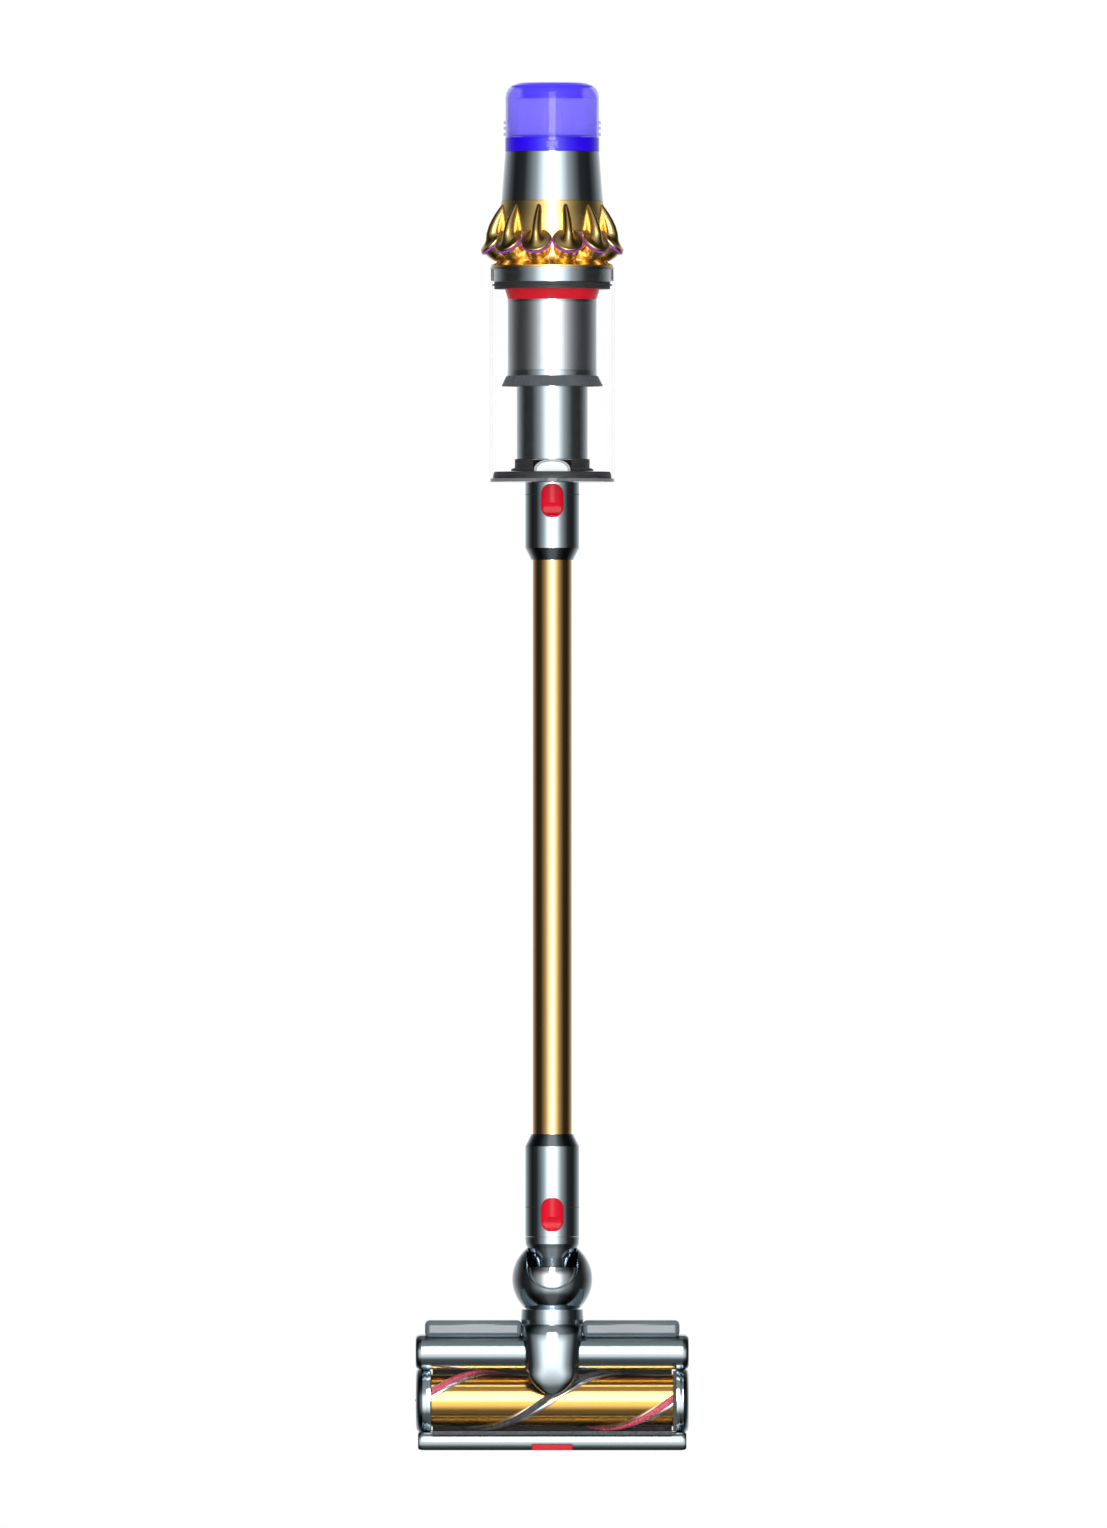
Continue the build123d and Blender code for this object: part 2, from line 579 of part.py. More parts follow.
def neck_half_width(reach, spare):
    """Half width of the neck at a distance from the ball's centre, plus some spare room."""
    return 17.2 + (reach - (171.5 - BALL_HEIGHT)) * neck_slope + spare


def neck_sweep(low, high, spare, arc, mode=Mode.SUBTRACT):
    """Cut the room that the neck sweeps as it pitches forwards."""
    wide, narrow = neck_half_width(high, spare), neck_half_width(low, spare)
    with BuildSketch(front(0)) as wedge:
        with BuildLine():
            Polyline((-narrow, BALL_HEIGHT + low), (narrow, BALL_HEIGHT + low), (wide, BALL_HEIGHT + high),
                     (-wide, BALL_HEIGHT + high), close=True)
        make_face()
    swept = revolve(wedge.sketch, axis=PITCH_AXIS, revolution_arc=-arc, mode=Mode.PRIVATE)
    with BuildSketch(front(0)) as cone_half:
        with BuildLine():
            Polyline((0, BALL_HEIGHT + low), (narrow, BALL_HEIGHT + low), (wide, BALL_HEIGHT + high),
                     (0, BALL_HEIGHT + high), close=True)
        make_face()
    cone = revolve(cone_half.sketch, axis=TUBE_AXIS, mode=Mode.PRIVATE)
    add(swept + cone + cone.rotate(PITCH_AXIS, -arc), mode=mode)


ball_centre = place(0, 0, BALL_HEIGHT)

with BuildPart() as neck_ball:
    with Locations(ball_centre):
        Sphere(INNER_BALL_R)
        Sphere(INNER_BALL_R - 3, mode=Mode.SUBTRACT)
    turn((0, 160), (13.4, 160), (13.4, 171.3), (40, 171.3), (40, 200), (0, 200), mode=Mode.SUBTRACT)
    ring(30.5, 13.5, 169.1, 171.3)
    for side in (-1, 1):
        cross_rod(20.5, 0, BALL_HEIGHT, min(side * 24, side * 26.6), max(side * 24, side * 26.6))
    cross_rod(PITCH_PIN_R + RUNNING_FIT, 0, BALL_HEIGHT, -40, 40, mode=Mode.SUBTRACT)
    block((-40, -CAP_PLANE + 0.4), (-40, 40), (100, 200), mode=Mode.SUBTRACT)
    block((CAP_PLANE - 0.4, 40), (-40, 40), (100, 200), mode=Mode.SUBTRACT)
    block((-15, 15), (-40, 15), (100, BALL_HEIGHT - 12), mode=Mode.SUBTRACT)
save(neck_ball.part, "neck_ball")

with BuildPart() as ball_yoke:
    with Locations(ball_centre):
        Sphere(BALL_R)
        Sphere(YOKE_BORE_R, mode=Mode.SUBTRACT)
    block((-40, -CAP_PLANE), (-40, 40), (100, 200), mode=Mode.SUBTRACT)
    block((CAP_PLANE, 40), (-40, 40), (100, 200), mode=Mode.SUBTRACT)
    neck_sweep(6, 44, 0.9, PITCH_RANGE)
    ring(60, 0, 110, YOKE_FLAT, mode=Mode.SUBTRACT)
    ring(SWIVEL_R, SWIVEL_BORE_R, 118.2, 134.0)
    with Locations(ball_centre):
        Sphere(YOKE_BORE_R, mode=Mode.SUBTRACT)
save(ball_yoke.part, "ball_yoke")

cap_face = CAP_PLANE + 0.05
cap_radius = (BALL_R ** 2 - cap_face ** 2) ** 0.5
with BuildPart() as yoke_caps:
    for side in (-1, 1):
        with BuildSketch(front(0)) as cap_profile:
            with BuildLine():
                ThreePointArc(
                    (side * cap_face, BALL_HEIGHT + cap_radius),
                    (side * BALL_R * cos(radians(22)), BALL_HEIGHT + BALL_R * sin(radians(22))),
                    (side * BALL_R, BALL_HEIGHT),
                )
                Polyline(
                    (side * BALL_R, BALL_HEIGHT), (side * 22.5, BALL_HEIGHT), (side * 22.5, BALL_HEIGHT + PITCH_PIN_R),
                    (side * cap_face, BALL_HEIGHT + PITCH_PIN_R), (side * cap_face, BALL_HEIGHT + cap_radius),
                )
            make_face()
        revolve(cap_profile.sketch, axis=PITCH_AXIS)
save(yoke_caps.part, "yoke_caps")

# ---------------------------------------------------------------- head housing
with BuildPart() as swivel_collar:
    turn(
        (SWIVEL_R + RUNNING_FIT, COLLAR_LOW), (28.6, COLLAR_LOW), (29.3, 122),
        (28.6, COLLAR_HIGH), (SWIVEL_R + RUNNING_FIT, COLLAR_HIGH),
    )
save(swivel_collar.part, "swivel_collar")

with BuildPart() as neck_body:
    with BuildSketch(front(0)) as shield:
        with BuildLine():
            Polyline((-28.4, COLLAR_LOW - 0.2), (28.4, COLLAR_LOW - 0.2), (28.0, 100), (26.0, 84), (25.0, 77))
            Spline((25.0, 77), (16.5, 62.5), (0, 51.5), (-16.5, 62.5), (-25.0, 77))
            Polyline((-25.0, 77), (-26.0, 84), (-28.0, 100), (-28.4, COLLAR_LOW - 0.2))
        make_face()
    extrude(shield.sketch, amount=40)
    ring(30.5, 0, 40, 118, mode=Mode.INTERSECT)
    ring(30.5, 0, 78, COLLAR_LOW - 0.2)
    ring(26.5, 0, 40, COLLAR_LOW - 3, mode=Mode.SUBTRACT)
    cross_rod(WINDOW_R + 0.2, ROLLER_DEPTH, ROLLER_HEIGHT, -40, 40, mode=Mode.SUBTRACT)
    ring(23, 0, COLLAR_LOW - 3.2, COLLAR_LOW, mode=Mode.SUBTRACT)
save(neck_body.part, "neck_body")

with BuildPart() as head_housing:
    with BuildSketch(SIDE.offset(-HEAD_HALF)) as bar_profile:
        with BuildLine():
            Polyline((-8, BAR_BASE), (SOLE - 3.2, BAR_BASE), (SOLE - 3.2, BAR_TOP), (-6, BAR_TOP))
            Spline((-6, BAR_TOP), (-19, 101), (-23.5, 91), (-20.5, 80.5), (-8, BAR_BASE))
        make_face()
    extrude(bar_profile.sketch, amount=2 * HEAD_HALF)
    block((-HEAD_HALF + 3, HEAD_HALF - 3), (-12, SOLE), (BAR_BASE + 3, BAR_TOP - 3), mode=Mode.SUBTRACT)
    ring(30.7, 0, 60, 130, mode=Mode.SUBTRACT)
save(head_housing.part, "head_housing")

with BuildPart() as rear_strip:
    with BuildSketch(level(BAR_TOP + 0.1)) as strip:
        with Locations((0, -3)):
            Rectangle(2 * STRIP_HALF, 30)
        Circle(30.8, mode=Mode.SUBTRACT)
    extrude(strip.sketch, amount=STRIP_TOP - BAR_TOP - 0.1)
save(rear_strip.part, "rear_strip")

with BuildPart() as front_bumper:
    block((-BUMPER_HALF, BUMPER_HALF), (-16, SOLE - 3.2), (0, BUMPER_TOP))
    fillet(front_bumper.edges().filter_by(Axis.X).sort_by(Axis.Y)[0:2], 6)
    block((-BUMPER_HALF + 3, BUMPER_HALF - 3), (-11, SOLE), (3.2, BUMPER_TOP - 3), mode=Mode.SUBTRACT)
save(front_bumper.part, "front_bumper")

with BuildPart() as sole_plate:
    with BuildSketch(front(SOLE)) as plate:
        with Locations((0, BAR_TOP / 2)):
            RectangleRounded(2 * BUMPER_HALF - 1, BAR_TOP - 1, 6)
        with Locations(((ROLLER_RIGHT + 0.7 - 2 * HEAD_HALF) / 2, ROLLER_HEIGHT)):
            Rectangle(ROLLER_RIGHT + 0.7 + 2 * HEAD_HALF, 57.6, mode=Mode.SUBTRACT)
        for side in (-1, 1):
            with Locations((side * WHEEL_SIDE, WHEEL_HEIGHT)):
                Rectangle(2 * WHEEL_HALF + 3, 2 * WHEEL_R + 2, mode=Mode.SUBTRACT)
    extrude(plate.sketch, amount=3)
    for side in (-1, 1):
        cross_rod(1.5, WHEEL_DEPTH, WHEEL_HEIGHT, side * WHEEL_SIDE - 6, side * WHEEL_SIDE + 6)
        for end in (-1, 1):
            holder = side * WHEEL_SIDE + end * 6
            block((holder - 1, holder + 1), (WHEEL_DEPTH - 3, SOLE - 2), (WHEEL_HEIGHT - 3, WHEEL_HEIGHT + 3))
save(sole_plate.part, "sole_plate")

with BuildPart() as roller_window:
    with BuildSketch(SIDE.offset(-113.2)) as arc_profile:
        with Locations((ROLLER_DEPTH, ROLLER_HEIGHT)):
            Circle(WINDOW_R)
            Circle(WINDOW_R - WINDOW_WALL, mode=Mode.SUBTRACT)
        with Locations((-30, ROLLER_HEIGHT)):
            Rectangle(80, 57.8, mode=Mode.INTERSECT)
    extrude(arc_profile.sketch, amount=229.4)
save(roller_window.part, "roller_window")


def end_disc(low_x, high_x):
    """An end of the roller chamber: round to the front and flat to the sole."""
    cross_rod(WINDOW_R, ROLLER_DEPTH, ROLLER_HEIGHT, low_x, high_x)
    block((low_x - 1, high_x + 1), (-40, SOLE - 3.4), (BUMPER_TOP + 0.3, BAR_BASE - 0.2), mode=Mode.INTERSECT)


with BuildPart() as roller_end_cap:
    end_disc(-HEAD_HALF, -114.0)
    cross_rod(AXLE_R, ROLLER_DEPTH, ROLLER_HEIGHT, -114.5, -100)
    for radius in (27.0, 19.0):
        cross_rod(radius, ROLLER_DEPTH, ROLLER_HEIGHT, -HEAD_HALF - 1, -HEAD_HALF + 1.2, mode=Mode.SUBTRACT)
        cross_rod(radius - 3.5, ROLLER_DEPTH, ROLLER_HEIGHT, -HEAD_HALF, -HEAD_HALF + 2)
save(roller_end_cap.part, "roller_end_cap")

with BuildPart() as brush_motor:
    end_disc(116.4, HEAD_HALF)
    cross_rod(10, ROLLER_DEPTH, ROLLER_HEIGHT, 107, 117)
    cross_rod(17, ROLLER_DEPTH, ROLLER_HEIGHT, 10, 108)
    cross_rod(3 + RUNNING_FIT, ROLLER_DEPTH, ROLLER_HEIGHT, 5, 60, mode=Mode.SUBTRACT)
save(brush_motor.part, "brush_motor")

# ---------------------------------------------------------------- roller
with BuildPart() as roller_core:
    cross_rod(CORE_R, ROLLER_DEPTH, ROLLER_HEIGHT, ROLLER_LEFT, ROLLER_RIGHT)
    cross_rod(CORE_R - 2, ROLLER_DEPTH, ROLLER_HEIGHT, ROLLER_LEFT - 1, ROLLER_RIGHT + 1, mode=Mode.SUBTRACT)
save(roller_core.part, "roller_core")

with BuildPart() as roller_hubs:
    cross_rod(CORE_R - 2, ROLLER_DEPTH, ROLLER_HEIGHT, -112.5, -103)
    cross_rod(AXLE_R + RUNNING_FIT, ROLLER_DEPTH, ROLLER_HEIGHT, -120, -100, mode=Mode.SUBTRACT)
    cross_rod(CORE_R - 2, ROLLER_DEPTH, ROLLER_HEIGHT, -4, 4)
    cross_rod(3, ROLLER_DEPTH, ROLLER_HEIGHT, 3, 55)
save(roller_hubs.part, "roller_hubs")

roller_length = ROLLER_RIGHT - ROLLER_LEFT - 0.6
roller_twist = 360 * roller_length / HELIX_PITCH
roller_end = Plane(origin=place(ROLLER_LEFT + 0.3, ROLLER_DEPTH, ROLLER_HEIGHT), x_dir=(0, 1, 0), z_dir=(1, 0, 0))
STRIP_START = 161.0       # angle of the first strip at the left end of the roller


def helical_strips(indices, offset, width, inner, outer):
    """Strips that wind along the roller, one for each index."""
    solids = []
    for index in indices:
        with BuildSketch(Plane.XY) as strip_profile:
            with Locations(Rot(0, 0, STRIP_START + index * 360 / STRIPS + offset) * Pos((inner + outer) / 2, 0)):
                Rectangle(outer - inner, width)
            Circle(inner, mode=Mode.SUBTRACT)
        face = roller_end.location * strip_profile.sketch.face()
        solids.append(Solid.extrude_linear_with_rotation(
            face.outer_wire(), center=roller_end.origin, normal=Vector(roller_length, 0, 0), angle=-roller_twist))
    return solids


for name, indices, offset, width, top in (
    ("nylon_bristles", (0,), 0, 4.0, BRISTLE_R),
    ("carbon_bristles", (1,), 0, 4.0, BRISTLE_R),
    ("bristle_channels", (0, 1), 10.5, 4.0, CORE_R + 1.6),
):
    with BuildPart() as strips:
        for solid in helical_strips(indices, offset, width, CORE_R + 0.05, top):
            add(solid)
    save(strips.part, name)

# ---------------------------------------------------------------- wheels and slider
for name, side in (("left_wheel", -1), ("right_wheel", 1)):
    with BuildPart() as wheel:
        middle = side * WHEEL_SIDE
        cross_rod(WHEEL_R, WHEEL_DEPTH, WHEEL_HEIGHT, middle - WHEEL_HALF, middle + WHEEL_HALF)
        fillet(wheel.edges(), 0.8)
        cross_rod(
            1.5 + RUNNING_FIT, WHEEL_DEPTH, WHEEL_HEIGHT, side * WHEEL_SIDE - 9, side * WHEEL_SIDE + 9,
            mode=Mode.SUBTRACT,
        )
    save(wheel.part, name)

with BuildPart() as suction_slider:
    block((-19, 19), (-19.0, -16.3), (0.4, 5.6))
    fillet(suction_slider.edges().filter_by(Axis.Z), 1)
    fillet(suction_slider.faces().sort_by(Axis.Y)[0].edges(), 0.8)
save(suction_slider.part, "suction_slider")
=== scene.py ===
"""Looks for a cordless upright vacuum cleaner. Metres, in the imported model's own frame."""
import json
import math
import random
import bmesh
import bpy
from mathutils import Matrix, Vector


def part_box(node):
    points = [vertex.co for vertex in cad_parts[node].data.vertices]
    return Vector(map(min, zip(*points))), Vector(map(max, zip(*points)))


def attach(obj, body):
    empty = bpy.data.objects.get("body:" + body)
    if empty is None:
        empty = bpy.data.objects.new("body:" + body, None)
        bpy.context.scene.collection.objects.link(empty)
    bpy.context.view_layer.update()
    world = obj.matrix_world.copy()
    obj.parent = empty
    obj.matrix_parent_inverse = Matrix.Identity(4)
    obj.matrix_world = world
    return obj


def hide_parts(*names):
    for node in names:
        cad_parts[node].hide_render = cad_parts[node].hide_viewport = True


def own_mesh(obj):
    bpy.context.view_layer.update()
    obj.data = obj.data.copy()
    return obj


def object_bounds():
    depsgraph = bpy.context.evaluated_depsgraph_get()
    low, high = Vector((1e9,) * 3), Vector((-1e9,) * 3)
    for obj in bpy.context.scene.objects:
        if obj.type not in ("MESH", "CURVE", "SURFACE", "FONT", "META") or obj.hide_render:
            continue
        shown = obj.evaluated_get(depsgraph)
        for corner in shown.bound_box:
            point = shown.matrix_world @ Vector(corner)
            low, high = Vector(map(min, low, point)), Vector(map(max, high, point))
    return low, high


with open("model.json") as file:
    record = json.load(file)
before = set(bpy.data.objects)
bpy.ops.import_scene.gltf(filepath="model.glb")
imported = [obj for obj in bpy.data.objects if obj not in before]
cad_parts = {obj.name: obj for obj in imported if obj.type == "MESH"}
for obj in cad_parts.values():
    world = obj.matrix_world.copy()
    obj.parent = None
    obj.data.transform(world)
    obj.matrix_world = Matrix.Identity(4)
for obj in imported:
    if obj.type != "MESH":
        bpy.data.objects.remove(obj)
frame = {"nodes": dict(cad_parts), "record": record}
cad_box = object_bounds()

MM = 0.001

# ------------------------------------------------------------------ places from the frame
tube_low, tube_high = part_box("wand_tube")
AXIS_X = (tube_low.x + tube_high.x) / 2
AXIS_Y = (tube_low.y + tube_high.y) / 2
HEAD_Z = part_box("front_bumper")[0].z       # the head's lowest edge: heights start here


def at(x, depth, height):
    """A point from its distance beside and behind the tube axis and its height, in mm."""
    return Vector((AXIS_X + x * MM, AXIS_Y + depth * MM, HEAD_Z + height * MM))


def around(angle, radius, height):
    """A point at an angle round the tube axis; 0 faces the room and +90 degrees is +X."""
    turned = math.radians(angle)
    return at(radius * math.sin(turned), -radius * math.cos(turned), height)


class Shape:
    """Collects rings of points into one mesh."""

    def __init__(self):
        self.points, self.faces = [], []

    def skin(self, rings, start=False, end=False, loop=False):
        """Joins rings of equal length; start and end close the ends, loop joins the last to the first."""
        base, count = len(self.points), len(rings[0])
        for ring in rings:
            self.points.extend(ring)
        spans = len(rings) if loop else len(rings) - 1
        for row in range(spans):
            low, high = base + row * count, base + (row + 1) % len(rings) * count
            for step in range(count):
                following = (step + 1) % count
                self.faces.append((low + step, low + following, high + following, high + step))
        if start:
            self.faces.append(tuple(base + step for step in reversed(range(count))))
        if end:
            top = base + (len(rings) - 1) * count
            self.faces.append(tuple(top + step for step in range(count)))
        return self

    def lathe(self, profile, steps=144):
        """Turns a closed outline of (radius, height) about the tube axis."""
        return self.skin([[around(step * 360 / steps, radius, height) for step in range(steps)]
                          for radius, height in profile], loop=True)

    def brick(self, corner, x_edge, y_edge, z_edge):
        """A block from one corner along three edges."""
        lower = [corner, corner + x_edge, corner + x_edge + y_edge, corner + y_edge]
        return self.skin([lower, [point + z_edge for point in lower]], start=True, end=True)

    def block(self, corner, width, depth, height):
        """An upright block from its low corner, with its size in mm."""
        x_edge, y_edge = Vector((width * MM, 0, 0)), Vector((0, depth * MM, 0))
        return self.brick(corner, x_edge, y_edge, Vector((0, 0, height * MM)))


def finish_piece(shape, name, body, slot, replaces=(), material=None, sharp=35, round_edge=0):
    """Makes the mesh, gives it its finish and lets it ride on its body."""
    mesh = bpy.data.meshes.new(name)
    mesh.from_pydata([tuple(point) for point in shape.points], [], shape.faces)
    work = bmesh.new()
    work.from_mesh(mesh)
    bmesh.ops.remove_doubles(work, verts=work.verts, dist=1e-6)
    bmesh.ops.recalc_face_normals(work, faces=work.faces)
    work.to_mesh(mesh)
    work.free()
    piece = bpy.data.objects.new(name, mesh)
    bpy.context.scene.collection.objects.link(piece)
    if round_edge:
        rounding = piece.modifiers.new("rounding", "BEVEL")
        rounding.width = round_edge * MM
        rounding.segments = 3
        rounding.limit_method = "ANGLE"
    mesh.shade_smooth()
    mesh.set_sharp_from_angle(angle=math.radians(sharp))
    mesh.materials.append(material or MATERIALS[slot])
    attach(piece, body)
    if replaces:
        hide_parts(*replaces)
    return piece


# ------------------------------------------------------------------ node helpers
def new_material(name):
    """A material with its node tree, output and principled shader."""
    made = bpy.data.materials.new(name)
    made.use_nodes = True
    tree = made.node_tree
    return made, tree, tree.nodes["Principled BSDF"]


def node(tree, kind, **values):
    made = tree.nodes.new(kind)
    for key, value in values.items():
        setattr(made, key, value)
    return made


def noise(tree, scale, detail=4.0, stretch=None, roughness=0.5):
    """Object-space noise, stretched along an axis when asked."""
    place = node(tree, "ShaderNodeTexCoord")
    made = node(tree, "ShaderNodeTexNoise")
    made.inputs["Scale"].default_value = scale
    made.inputs["Detail"].default_value = detail
    made.inputs["Roughness"].default_value = roughness
    source = place.outputs["Object"]
    if stretch:
        mapping = node(tree, "ShaderNodeMapping")
        mapping.inputs["Scale"].default_value = stretch
        tree.links.new(source, mapping.inputs["Vector"])
        source = mapping.outputs["Vector"]
    tree.links.new(source, made.inputs["Vector"])
    return made


def ramp(tree, source, stops):
    """A colour ramp from (position, colour) stops."""
    made = node(tree, "ShaderNodeValToRGB")
    elements = made.color_ramp.elements
    while len(elements) > 1:
        elements.remove(elements[-1])
    for index, (position, colour) in enumerate(stops):
        element = elements[0] if index == 0 else elements.new(position)
        element.position = position
        element.color = (*colour, 1)
    tree.links.new(source, made.inputs["Fac"])
    return made


def spread(tree, source, low, high):
    """Maps 0..1 to a range."""
    made = node(tree, "ShaderNodeMapRange")
    made.inputs["To Min"].default_value = low
    made.inputs["To Max"].default_value = high
    tree.links.new(source, made.inputs["Value"])
    return made


def bump(tree, shader, source, strength, distance):
    made = node(tree, "ShaderNodeBump")
    made.inputs["Strength"].default_value = strength
    made.inputs["Distance"].default_value = distance
    tree.links.new(source, made.inputs["Height"])
    tree.links.new(made.outputs["Normal"], shader.inputs["Normal"])
    return made


def shade(colour, factor):
    return tuple(min(1.0, channel * factor) for channel in colour)


# ------------------------------------------------------------------ materials
def lacquered_metal(name, colour, roughness, variation=0.05, grain=0.02, stretch=(1, 1, 0.06), metallic=1.0):
    """Metallic lacquer: fine flakes, a faint vertical grain and slightly uneven gloss."""
    made, tree, shader = new_material(name)
    flakes = noise(tree, 2600, 2.0)
    tones = ((0.3, shade(colour, 1 - variation)), (0.7, shade(colour, 1 + variation)))
    tone = ramp(tree, flakes.outputs["Fac"], tones)
    tree.links.new(tone.outputs["Color"], shader.inputs["Base Color"])
    uneven = noise(tree, 40, 3.0, stretch=stretch)
    gloss = spread(tree, uneven.outputs["Fac"], roughness * 0.85, roughness * 1.2)
    tree.links.new(gloss.outputs["Result"], shader.inputs["Roughness"])
    shader.inputs["Metallic"].default_value = metallic
    fine = noise(tree, 900, 3.0, stretch=stretch)
    bump(tree, shader, fine.outputs["Fac"], grain, 0.0002)
    return made


def moulded_plastic(name, colour, roughness, texture=0.12, scale=1500, coat=0.0):
    """Moulded plastic: spark-eroded grain, slight colour drift and uneven gloss."""
    made, tree, shader = new_material(name)
    drift = noise(tree, 18, 3.0)
    tone = ramp(tree, drift.outputs["Fac"], ((0.3, shade(colour, 0.88)), (0.7, shade(colour, 1.12))))
    tree.links.new(tone.outputs["Color"], shader.inputs["Base Color"])
    uneven = noise(tree, 60, 3.0)
    gloss = spread(tree, uneven.outputs["Fac"], roughness * 0.85, min(1.0, roughness * 1.2))
    tree.links.new(gloss.outputs["Result"], shader.inputs["Roughness"])
    shader.inputs["Coat Weight"].default_value = coat
    shader.inputs["Coat Roughness"].default_value = 0.08
    grain = noise(tree, scale, 2.0)
    bump(tree, shader, grain.outputs["Fac"], texture, 0.0002)
    return made


def clear_plastic(name, tint, edge, body_alpha, edge_alpha, gloss=0.04):
    """Thin clear plastic: see-through face on, denser and brighter towards its edges."""
    made, tree, shader = new_material(name)
    facing = node(tree, "ShaderNodeLayerWeight")
    facing.inputs["Blend"].default_value = 0.35
    tone = ramp(tree, facing.outputs["Facing"], ((0.0, tint), (0.75, tint), (1.0, edge)))
    tree.links.new(tone.outputs["Color"], shader.inputs["Base Color"])
    opacity = ramp(tree, facing.outputs["Facing"], (
        (0.0, (body_alpha,) * 3), (0.62, (body_alpha,) * 3),
        (0.93, (edge_alpha * 0.5,) * 3), (1.0, (edge_alpha,) * 3)))
    tree.links.new(opacity.outputs["Color"], shader.inputs["Alpha"])
    smear = noise(tree, 30, 3.0)
    finish = spread(tree, smear.outputs["Fac"], gloss * 0.7, gloss * 1.5)
    tree.links.new(finish.outputs["Result"], shader.inputs["Roughness"])
    return made


def etched_mesh(name):
    """Etched steel mesh: rows of fine holes in satin metal."""
    made, tree, shader = new_material(name)
    place = node(tree, "ShaderNodeTexCoord")
    cells = node(tree, "ShaderNodeTexVoronoi")
    cells.inputs["Scale"].default_value = 1100
    cells.inputs["Randomness"].default_value = 0.15
    tree.links.new(place.outputs["Object"], cells.inputs["Vector"])
    tone = ramp(tree, cells.outputs["Distance"], ((0.18, (0.50, 0.54, 0.57)), (0.42, (0.72, 0.76, 0.79))))
    tree.links.new(tone.outputs["Color"], shader.inputs["Base Color"])
    shader.inputs["Metallic"].default_value = 1.0
    uneven = noise(tree, 25, 2.0)
    gloss = spread(tree, uneven.outputs["Fac"], 0.26, 0.36)
    tree.links.new(gloss.outputs["Result"], shader.inputs["Roughness"])
    bump(tree, shader, cells.outputs["Distance"], 0.25, 0.0002)
    return made


def brush_fibre(name, dark, light, roughness=0.7):
    """Brush fibre: fine streaks of two tones with a soft sheen."""
    made, tree, shader = new_material(name)
    streaks = noise(tree, 1400, 3.0, stretch=(1, 0.3, 0.3))
    tone = ramp(tree, streaks.outputs["Fac"], ((0.35, dark), (0.65, light)))
    tree.links.new(tone.outputs["Color"], shader.inputs["Base Color"])
    gloss = spread(tree, streaks.outputs["Fac"], roughness * 0.8, roughness)
    tree.links.new(gloss.outputs["Result"], shader.inputs["Roughness"])
    shader.inputs["Sheen Weight"].default_value = 0.35
    bump(tree, shader, streaks.outputs["Fac"], 0.3, 0.0003)
    return made


MATERIALS = {
    "nickel": lacquered_metal("nickel_lacquer", (0.56, 0.65, 0.70), 0.13),
    "bright_nickel": lacquered_metal("bright_nickel_lacquer", (0.78, 0.83, 0.86), 0.10),
    "gold": lacquered_metal("gold_lacquer", (0.86, 0.56, 0.16), 0.13, variation=0.04),
    "gold_anodised": lacquered_metal("gold_anodised", (0.84, 0.53, 0.20), 0.19, grain=0.03),
    "aluminium": lacquered_metal("brushed_aluminium", (0.80, 0.82, 0.84), 0.26, grain=0.08),
    "steel": lacquered_metal("ground_steel", (0.66, 0.67, 0.69), 0.25, grain=0.05),
    "mesh": etched_mesh("etched_mesh"),
    "purple_clear": clear_plastic("violet_clear", (0.10, 0.06, 0.98), (0.05, 0.02, 0.80), 0.42, 0.97),
    "purple_rubber": moulded_plastic("purple_gasket", (0.25, 0.03, 0.36), 0.45),
    "filter_paper": brush_fibre("pleated_paper", (0.72, 0.66, 0.98), (0.97, 0.95, 1.0)),
    "clear": clear_plastic("clear_polycarbonate", (0.85, 0.88, 0.90), (0.45, 0.52, 0.56), 0.004, 0.42),
    "smoked": clear_plastic("smoked_polycarbonate", (0.10, 0.11, 0.12), (0.02, 0.02, 0.02), 0.75, 0.98),
    "red": moulded_plastic("red_gloss", (0.50, 0.0, 0.012), 0.20, texture=0.02, coat=0.03),
    "black_rubber": moulded_plastic("black_seal", (0.018, 0.018, 0.02), 0.5, texture=0.2),
    "dark_plastic": moulded_plastic("dark_plastic", (0.055, 0.062, 0.07), 0.35, texture=0.1),
    "grey_plastic": moulded_plastic("grey_plastic", (0.16, 0.18, 0.195), 0.38, texture=0.15),
    "copper": lacquered_metal("wound_copper", (0.80, 0.38, 0.18), 0.3, grain=0.2),
    "cell_wrap": moulded_plastic("cell_wrap", (0.08, 0.28, 0.40), 0.3, coat=0.3),
    "carbon_fibre": brush_fibre("carbon_brush", (0.012, 0.012, 0.014), (0.09, 0.09, 0.10)),
    "nylon": brush_fibre("nylon_brush", (0.55, 0.01, 0.05), (0.95, 0.15, 0.25)),
}

red_shader = MATERIALS["red"].node_tree.nodes["Principled BSDF"]
red_shader.inputs["Specular IOR Level"].default_value = 0.12
# a darker copy of the nickel lacquer: painted shade on the head's bar
bar_nickel_painted_shade = lacquered_metal("bar_nickel_painted_shade", (0.40, 0.47, 0.50), 0.20)
# a still darker copy of the nickel lacquer: painted shade on the low front bumper
bumper_nickel_painted_shade = lacquered_metal("bumper_nickel_painted_shade", (0.31, 0.37, 0.375), 0.26)
cyclone_gold = lacquered_metal("cyclone_gold", (0.95, 0.66, 0.25), 0.27, variation=0.04)
# a darker copy of the gold: painted shade on the roller under the bar and behind the window
roller_gold_painted_shade = lacquered_metal("roller_gold_painted_shade", (0.78, 0.44, 0.10), 0.17, variation=0.04)
glossy_dark = moulded_plastic("glossy_dark_trim", (0.075, 0.10, 0.115), 0.22, texture=0.04, coat=0.4)
deep_violet = moulded_plastic("deep_violet", (0.020, 0.002, 0.62), 0.16, texture=0.02, coat=0.3)
milky = clear_plastic("milky_polycarbonate", (0.80, 0.86, 0.86), (0.60, 0.68, 0.69), 0.66, 0.85, gloss=0.2)
frosted = clear_plastic(
    "frosted_polycarbonate", (0.86, 0.92, 0.91), (0.55, 0.62, 0.63), 0.34, 0.8, gloss=0.12)


